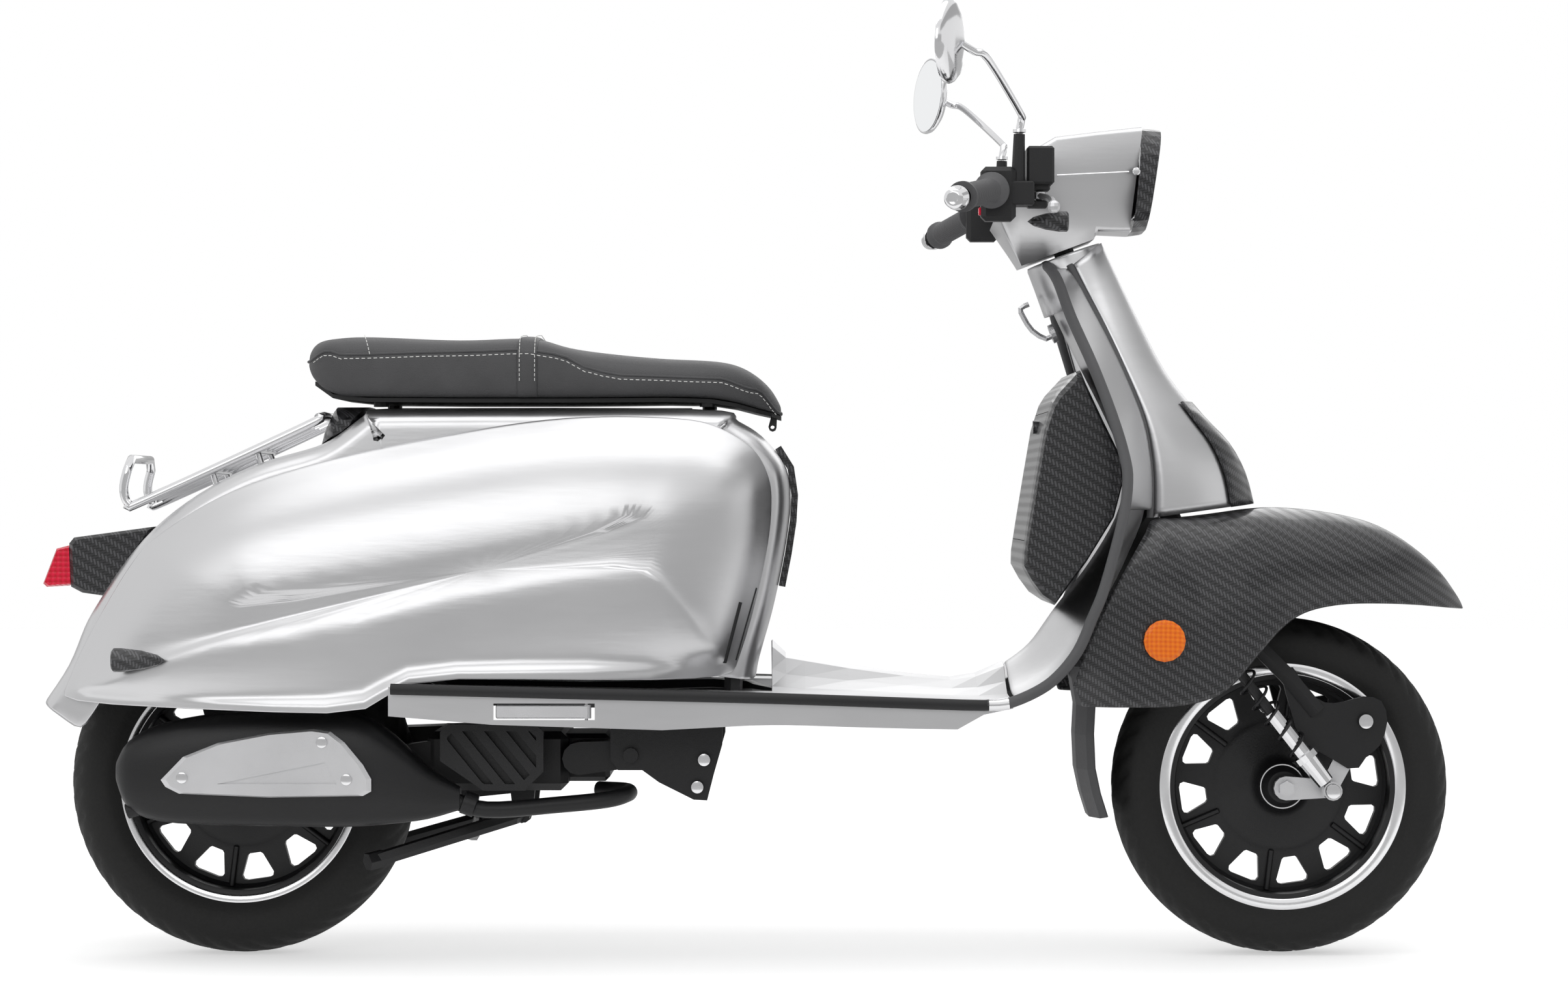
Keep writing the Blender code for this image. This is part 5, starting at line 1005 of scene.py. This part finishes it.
seat_stations = smooth(SEAT_STATIONS, 3)
seat_rows = [both_sides(seat_ring(s)) for s in seat_stations]
seat_bm = skin(seat_rows, closed=True)
for row in (seat_rows[0], seat_rows[-1]):
    cap(seat_bm, row)
bmesh.ops.recalc_face_normals(seat_bm, faces=seat_bm.faces)
cushion = piece("seat_cover", seat_bm, "leather", "seat", ("seat_cushion",), levels=1)

# %% Beading, strap and thread
for side, word in SIDES:
    line = [(p[0], p[1] * 1.004, p[2]) for p in (seat_ring(s)[6] for s in seat_stations)]
    line = [(x, side * abs(y), z) for x, y, z in line]
    piece("seat_beading_" + word, bar(line, 0.0020, 8), "leather", "seat")
strap_xs = [-0.3160, -0.3135, -0.3015, -0.2900, -0.2875]
strap_rows = []
for x in strap_xs:
    station = min(seat_stations, key=lambda s: abs(s[0] - x))
    rise = 0.0 if x in (strap_xs[0], strap_xs[-1]) else 0.0022
    ring = seat_ring((x, station[1], along([(s[0], s[2]) for s in SEAT_STATIONS], x),
                      station[3]), rise)[1:]
    strap_rows.append(both_sides([(px, py * (1 + rise * 4), pz + (rise if n > 6 else 0))
                                  for n, (px, py, pz) in enumerate(ring)]))
piece("seat_strap", facing(skin(strap_rows), (-0.3, 0, 0.78)), "leather", "seat",
      wall=0.0016, levels=1)


def stitches(name, line, spacing, length, body):
    """Short rounded threads along a line of points, one mesh for the whole seam."""
    threads = []
    points = [Vector(p) for p in line]
    carried = 0.0
    for a, b in zip(points, points[1:]):
        way = b - a
        if way.length < 1e-6:
            continue
        step = carried
        while step < way.length:
            p = a + way.normalized() * step
            q = p + way.normalized() * length
            threads.append(bar([p, p.lerp(q, 0.5), q], 0.0005, 6))
            step += spacing
        carried = step - way.length
    return piece(name, joined(*threads), "leather", body, material=thread)


for side, word in SIDES:
    seam = []
    for station in seat_stations[3:-2]:
        x, y, z = seat_ring(station)[5]
        seam.append((x, side * (abs(y) + 0.0036), z - 0.0035))
    stitches("seam_thread_" + word, seam, 0.0080, 0.0046, "seat")
    short = [(-0.518, side * 0.1225, 0.8318), (-0.514, side * 0.1330, 0.8225),
             (-0.510, side * 0.1385, 0.8085)]
    stitches("corner_thread_" + word, smooth(short, 5), 0.0058, 0.0038, "seat")
for name, x in (("thread_rear", -0.3118), ("thread_front", -0.2917)):
    station = min(seat_stations, key=lambda s: abs(s[0] - x))
    ring = both_sides([(px, py * 1.012, pz + (0.0030 if n > 4 else 0.0)) for n, (px, py, pz)
                       in enumerate(seat_ring((x, *station[1:]), 0.0026)[3:])])
    stitches(name, ring, 0.0062, 0.0040, "seat")

# %% [markdown]
# ## Headset, lamps and controls
# The nacelle is lofted again with more sections; the headlamp gets a bowl behind its glass.


# %% Headset shell
HEADSET_LINE = [(0.3190, 0.9830), (0.3400, 1.0330), (0.3610, 1.0790), (0.3980, 1.1010),
                (0.4560, 1.1080), (0.5145, 1.1150), (0.5088, 1.0435), (0.5030, 0.9720),
                (0.4620, 0.9740), (0.4546, 0.9640), (0.3570, 0.9280)]
COLUMN_AXIS = Vector((-math.sin(math.radians(22)), 0.0, math.cos(math.radians(22))))


def headset():
    foot = Vector((0.357, 0.0, 0.928))
    middle = (0.425, 1.030)
    rings = []
    for n in range(15):
        a = math.radians(lerp(-90, 90, n / 14))
        share, scale = math.sin(a), lerp(0.86, 1.0, max(math.cos(a), 0.0) ** 0.45)
        ring = []
        for x, z in HEADSET_LINE:
            height = (Vector((x, 0.0, z)) - foot).dot(COLUMN_AXIS)
            width = lerp(0.050, 0.097, smoothstep(height / 0.075))
            front = x > 0.50
            keep = 1.0 if front or (z < 0.97 and x > 0.35) else scale
            ring.append((lerp(middle[0], x, keep), share * width,
                         lerp(middle[1], z, scale if front else keep)))
        rings.append(ring)
    bm = skin(rings, closed=True, keep=lambda i, j: j not in (5, 6))
    for row in (rings[0], rings[-1]):
        cap(bm, row)
    bmesh.ops.recalc_face_normals(bm, faces=bm.faces)
    shell = piece("headset_skin", bm, "silver", "steering", ("headset",))
    shell.data.set_sharp_from_angle(angle=math.radians(60))


headset()

# %% Headlamp bowl and ring, mirrors and grip sleeves
def bar_way(side):
    """Direction in which the handlebar runs out to its end."""
    return Vector((-0.058, side * 0.162, -0.0245)).normalized()


piece("headlamp_bowl", spun([(0.052, 0.0), (0.048, -0.012), (0.036, -0.028), (0.018, -0.038),
                             (0.006, -0.041)], (0.5150, 0, 1.0435), (1, 0, 0), 48),
      "chrome", "steering", material=reflector_bowl)
piece("headlamp_ring", spun([(0.0585, 0.0), (0.0600, 0.0030), (0.0640, 0.0045),
                             (0.0655, 0.0020), (0.0640, -0.0010)],
                            (0.5240, 0, 1.0435), (1, 0, 0), 64, ring=True), "chrome",
      "steering")
for side, word in SIDES:
    way = Vector((-0.93, -side * 0.34, 0.06)).normalized()
    middle = Vector((0.253, side * 0.320, 1.197))
    head = spun([(0.0, -0.0100), (0.018, -0.0094), (0.034, -0.0074), (0.047, -0.0035),
                 (0.0535, 0.0015), (0.0550, 0.0050), (0.0545, 0.0078), (0.0530, 0.0084),
                 (0.0518, 0.0078), (0.0, 0.0076)], middle, way, 64)
    base = Vector((0.3452, side * 0.1888, 1.0918))
    stem = smooth([tuple(base), (base.x, base.y, base.z + 0.006),
                   (0.3475, side * 0.1920, 1.1100), (0.3440, side * 0.2060, 1.1200),
                   (0.2980, side * 0.2980, 1.1760), (0.2800, side * 0.3120, 1.1840),
                   (0.2640, side * 0.3180, 1.1930)], 5)
    collar = spun([(0.0050, 0), (0.0085, 0.001), (0.0085, 0.005), (0.0050, 0.006)],
                  base + Vector((0, 0, 0.0005)), (0, 0, 1), 32, ring=True)
    piece("mirror_body_" + word, joined(head, bar(stem, 0.0050, 14), collar), "chrome",
          word + "_mirror", ("mirror_" + word,))
    piece("mirror_glass_" + word, spun([(0.0, 0.0), (0.0510, 0.0), (0.0515, 0.0006),
                                        (0.0, 0.0009)], middle + way * 0.0078, way, 64),
          "chrome", word + "_mirror", material=mirror_glass)
    body = "throttle" if side < 0 else "steering"
    node = "throttle_grip" if side < 0 else "grip_left"
    start = Vector((0.3130 - 0.058 * 13 / 162, side * 0.213, 1.0180 - 0.0245 * 13 / 162))
    out = bar_way(side)
    reach = 0.1372
    profile = [(0.0116, 0.0005), (0.0235, 0.0005), (0.0238, 0.0055), (0.0190, 0.0100)]
    for n in range(26):
        h = 0.014 + n * (reach - 0.030) / 26
        profile += [(0.0163, h), (0.0163, h + 0.0022), (0.0155, h + 0.0027),
                    (0.0155, h + 0.0036)]
    profile += [(0.0163, reach - 0.012), (0.0197, reach - 0.007), (0.0197, reach - 0.001),
                (0.0116, reach - 0.001)]
    piece("grip_sleeve_" + word, spun(profile, start, out, 32, ring=True), "rubber", body,
          (node,))

# %% [markdown]
# ## Springs, silencer and beading
# The coils are swept helices carried by their dampers. The silencer is lofted from
# the frame's stations with more sections, and the beading follows the leg shield's edge.

# %% Front springs
COIL_TURNS = 6
COIL_STEPS = 24
top, low = Vector((0.615, 0, 0.4205)), Vector((0.766, 0, 0.2270))
way = (low - top).normalized()
across = Vector((0, 1, 0))
other = way.cross(across)
for side, word in SIDES:
    points = []
    for n in range(COIL_TURNS * COIL_STEPS + 1):
        a = 2 * math.pi * n / COIL_STEPS
        h = lerp(0.0235, 0.1810, n / (COIL_TURNS * COIL_STEPS))
        points.append(top + Vector((0, side * 0.107, 0)) + way * h
                      + (across * math.cos(a) + other * math.sin(a)) * 0.0155)
    coil = piece("front_coil_" + word, bar(points, 0.0021, 8), "black_metal",
                 word + "_damper", ("front_spring_" + word,))
    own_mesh(coil)

# %% Silencer
MUFFLER = [(-0.838, 0.242, 0.272, 0.020), (-0.822, 0.208, 0.298, 0.036),
           (-0.780, 0.191, 0.320, 0.042), (-0.700, 0.186, 0.334, 0.044),
           (-0.600, 0.184, 0.338, 0.044), (-0.525, 0.184, 0.334, 0.043),
           (-0.475, 0.188, 0.305, 0.038), (-0.430, 0.194, 0.262, 0.028),
           (-0.388, 0.206, 0.236, 0.015)]


def silencer():
    y = -0.156
    rows = []
    for x, low, high, half in smooth(MUFFLER, 3):
        row = []
        for n in range(32):
            t = 2 * math.pi * n / 32
            c, s = math.cos(t), math.sin(t)
            row.append((x, y + half * math.copysign(abs(c) ** 0.7, c),
                        lerp(low, high, (1 + math.copysign(abs(s) ** 0.7, s)) / 2)))
        rows.append(row)
    bm = skin(rows, closed=True)
    for row in (rows[0], rows[-1]):
        cap(bm, row)
    pipe = bar(smooth([(-0.400, y, 0.2200), (-0.353, -0.154, 0.2060), (-0.260, -0.148, 0.2120),
                       (-0.196, -0.140, 0.2180), (-0.170, -0.118, 0.2240),
                       (-0.172, -0.085, 0.2250), (-0.190, -0.050, 0.2235),
                       (-0.212, -0.032, 0.2230)], 5), 0.011, 20)
    clamp = spun([(0.0110, 0), (0.0155, 0.001), (0.0155, 0.018), (0.0110, 0.019)],
                 (-0.385, y, 0.2170), (0.94, 0, -0.34), 32, ring=True)
    tail = spun([(0.0078, 0.0), (0.0100, 0.0), (0.0100, 0.036), (0.0078, 0.036)],
                (-0.790, y - 0.012, 0.2160), (-0.951, 0, -0.308), 32, ring=True)
    bmesh.ops.recalc_face_normals(bm, faces=bm.faces)
    piece("silencer_skin", joined(bm, pipe, clamp, tail), "black_metal", "engine",
          ("muffler",))


silencer()

# %% Rear rack in round chromed tube
def rack():
    w, r = 0.090, 0.0060
    side_line = [(-0.838, 0.654), (-0.843, 0.628), (-0.8355, 0.6085), (-0.815, 0.6130),
                 (-0.600, 0.7120), (-0.5830, 0.7235)]
    line = smooth([(x, -w, z) for x, z in side_line], 6)
    loop = [(-0.836, -w + 0.02, 0.668), *line, (-0.5790, -w + 0.02, 0.7255)]
    loop += [(x, -y, z) for x, y, z in loop[::-1]]
    tubes = [bar(loop, r, 16, cyclic=True)]
    for share in (0.40, 0.68):
        x, z = lerp(-0.815, -0.600, share), lerp(0.613, 0.712, share)
        tubes.append(bar([(x, -w, z - 0.001), (x, 0, z - 0.001), (x, w, z - 0.001)], 0.0050,
                         14))
        for side in (-1, 1):
            foot = [(x, side * 0.060, z - 0.003), (x + 0.004, side * 0.060, z - 0.016),
                    (x + 0.008, side * 0.060, z - 0.030)]
            tubes.append(bar(foot, 0.0045, 12))
    for y in (-0.045, 0.0, 0.045):
        tubes.append(bar([(-0.815, y, 0.6130), (-0.700, y, 0.6660), (-0.600, y, 0.7120)],
                         0.0035, 12))
    piece("rack_tubes", joined(*tubes), "chrome", "chassis", ("rear_rack",))


rack()

# %% Edge beading, one run round the floor and leg shield
floor_edge = [(-0.470, 0.2478, 0.3695), (-0.250, 0.2478, 0.3640), (-0.033, 0.2478, 0.3590),
              (0.070, 0.2478, 0.3560), (0.270, 0.2478, 0.3490), (0.306, 0.2478, 0.3490)]
shield_edge = [(0.300, 0.2478, 0.3490), (0.325, 0.2478, 0.3505)]
shield_edge += [edge for edge, _, _ in SHIELD_ROWS[1:]] + [SHIELD_TOP]
bead = smooth([(x, -y, z) for x, y, z in shield_edge] + [(0.3925, 0, 0.9300)]
              + shield_edge[::-1], 4)
piece("edge_beading", bar(bead, 0.0073, 14), "rubber", "chassis", ("edge_trim",))
for side, word in SIDES:
    strip = [(x, side * y, z) for x, y, z in smooth(floor_edge, 3)]
    piece("floor_strip_" + word, bar(strip, 0.0074, 12), "black_plastic", "chassis")
    clip = [(x, side * 0.2479, z) for x, z in ((0.302, 0.3490), (0.315, 0.3492),
                                               (0.328, 0.3508))]
    piece("beading_clip_" + word, bar(clip, 0.0079, 16), "chrome", "chassis")

# %% [markdown]
# ## Small parts that the eye looks for
# The collar under the headset, the silver strips and beads along the horncast joint, bolts,
# the carbon piece behind the seat, black bars that paint the shade in the side panels' slots,
# and the chrome on the bar ends and the headset. The bars find their depth by casting rays
# onto the panel.


# %% Collar where the horncast meets the headset, open on top
def collar():
    rings = []
    for down, reach, half in ((0.0, 0.0485, 0.0530), (0.004, 0.0500, 0.0545),
                              (0.030, 0.0505, 0.0550), (0.070, 0.0520, 0.0560)):
        centre = Vector((0.4170, 0, 0.9440)) - COLUMN_AXIS * down
        rings.append([(centre.x + reach * math.cos(2 * math.pi * n / 48),
                       half * math.sin(2 * math.pi * n / 48),
                       centre.z + reach * 0.36 * math.cos(2 * math.pi * n / 48))
                      for n in range(48)])
    piece("column_collar", facing(skin(rings, closed=True), (0.43, 0, 0.92)), "silver",
          "chassis", wall=0.0022)


collar()

# %% Silver strip between the edge beading and the horncast joint
def at_height(points, z):
    """Point of a line of points at a height."""
    for a, b in zip(points, points[1:]):
        if min(a[2], b[2]) <= z <= max(a[2], b[2]):
            t = (z - a[2]) / (b[2] - a[2])
            return Vector(a).lerp(Vector(b), t)
    return Vector(min(points, key=lambda p: abs(p[2] - z)))


edge_line = smooth([edge for edge, _, _ in SHIELD_ROWS], 6) + [SHIELD_TOP]
joint_line = [joint for joint, _ in horn_lines()]
for side, word in SIDES:
    rows = []
    for n in range(29):
        z = lerp(0.600, 0.925, n / 28)
        a, b = at_height(edge_line, z), at_height(joint_line, z)
        row = []
        for k in range(6):
            q = a.lerp(b, k / 5) + Vector((0.0, 0.003 * math.sin(math.pi * k / 5), 0.0))
            row.append((q.x, side * q.y, q.z))
        rows.append(row)
    piece("shield_flank_" + word, facing(skin(rows), (0.44, 0, 0.75)), "silver", "chassis",
          wall=0.0016, levels=1)

# %% Joint beading beside the horncast
for side, word in SIDES:
    line = [(j[0] - 0.004, side * (j[1] + 0.0010), j[2]) for j, _ in horn_lines()]
    piece("joint_beading_" + word, bar(line, 0.0046, 12), "rubber", "chassis")


# %% Round bolt heads, slightly domed
def screws(name, spots, radius, body, finish_slot="chrome"):
    heads = []
    for place_at, way in spots:
        heads.append(spun([(0.0, 0.0016), (radius * 0.55, 0.0016), (radius * 0.95, 0.0010),
                           (radius, 0.0), (radius, -0.001), (0.0, -0.001)], place_at, way, 20))
    piece(name, joined(*heads), finish_slot, body)


near = (0, -1, 0)
screws("link_bolts", [((0.8135, side * 0.0930, 0.3182), (0, side, 0)) for side in (-1, 1)]
       + [((0.766, side * 0.1205, 0.2270), (0, side, 0)) for side in (-1, 1)], 0.010,
       "steering")
screws("guard_bolts", [((-0.746, -0.2085, 0.2520), near), ((-0.564, -0.2085, 0.2980), near),
                       ((-0.532, -0.2085, 0.2495), near)], 0.0075, "engine")
screws("bracket_bolts", [((-0.068, -0.1355, 0.270), near), ((-0.077, -0.1355, 0.234), near)],
       0.0085, "chassis")

# %% Carbon piece behind the seat
def tail_wedge():
    """Filled corner between the sloping tail and the flat under the seat."""
    outline = [(-0.583, 0.6885), (-0.578, 0.7080), (-0.566, 0.7330), (-0.562, 0.7385),
               (-0.522, 0.7385), (-0.530, 0.7225), (-0.552, 0.7050), (-0.568, 0.6945)]
    rows = []
    for n in range(25):
        t = lerp(-1.0, 1.0, n / 24)
        shrink = 1 - 0.55 * abs(t) ** 6
        low = 0.006 * abs(t) ** 3
        rows.append([(lerp(-0.548, x, shrink), 0.106 * t, lerp(0.716, z, shrink) - low)
                     for x, z in outline])
    bm = skin(rows, closed=True)
    bmesh.ops.holes_fill(bm, edges=[e for e in bm.edges if e.is_boundary], sides=0)
    bmesh.ops.recalc_face_normals(bm, faces=bm.faces)
    piece("carbon_tail_piece", bm, "carbon", "chassis")


tail_wedge()

# %% Painted shade in the side panels' slots: each slot's dark recess is a black bar with a rounded end
def painted_slot_shade(side, word):
    panel = bpy.data.objects["side_panel_skin_" + word]
    graph = bpy.context.evaluated_depsgraph_get()
    tree = BVHTree.FromObject(panel, graph)
    shapes = []
    for a, b, radius in (((-0.021, 0.480), (-0.0415, 0.401), 0.0042),
                         ((0.001, 0.498), (-0.026, 0.403), 0.0016)):
        line = []
        for n in range(9):
            x, z = lerp(a[0], b[0], n / 8), lerp(a[1], b[1], n / 8)
            hit = tree.ray_cast(Vector((x, side * 0.5, z)), Vector((0, -side, 0)))[0]
            if hit:
                line.append(hit - Vector((0, side * (radius - 0.0006), 0)))
        if len(line) > 2:
            shapes.append(bar(line, radius, 12))
    if shapes:
        # Painted shade: these black bars stand for the shade inside the slots' recesses
        piece("painted_slot_shade_" + word, joined(*shapes), "black_plastic", "chassis")


for side, word in SIDES:
    painted_slot_shade(side, word)

# %% Chrome bar ends over the ends of the handlebar
for side, word in SIDES:
    end = Vector((0.2550, side * 0.362, 0.9935))
    out = bar_way(side)
    profile = [(0.0, -0.0050), (0.0148, -0.0050), (0.0156, -0.0042), (0.0157, 0.0002),
               (0.0150, 0.0016), (0.0142, 0.0050), (0.0127, 0.0138), (0.0097, 0.0163),
               (0.0070, 0.0166), (0.0062, 0.0163), (0.0, 0.0163)]
    piece("bar_end_" + word, spun(profile, end, out, 48), "chrome", "steering")

# %% Crease strip and screw on each side of the headset
for side, word in SIDES:
    crease = [(lerp(0.401, 0.497, n / 8), side * 0.0974, lerp(1.0456, 1.0502, n / 8))
              for n in range(9)]
    screw = spun([(0.0, 0.0022), (0.0040, 0.0018), (0.0052, 0.0006), (0.0052, -0.0020),
                  (0.0, -0.0020)], (0.507, side * 0.0966, 1.0510), (0, side, 0), 24)
    piece("headset_crease_" + word, joined(bar(crease, 0.0013, 8), screw), "chrome",
          "steering")
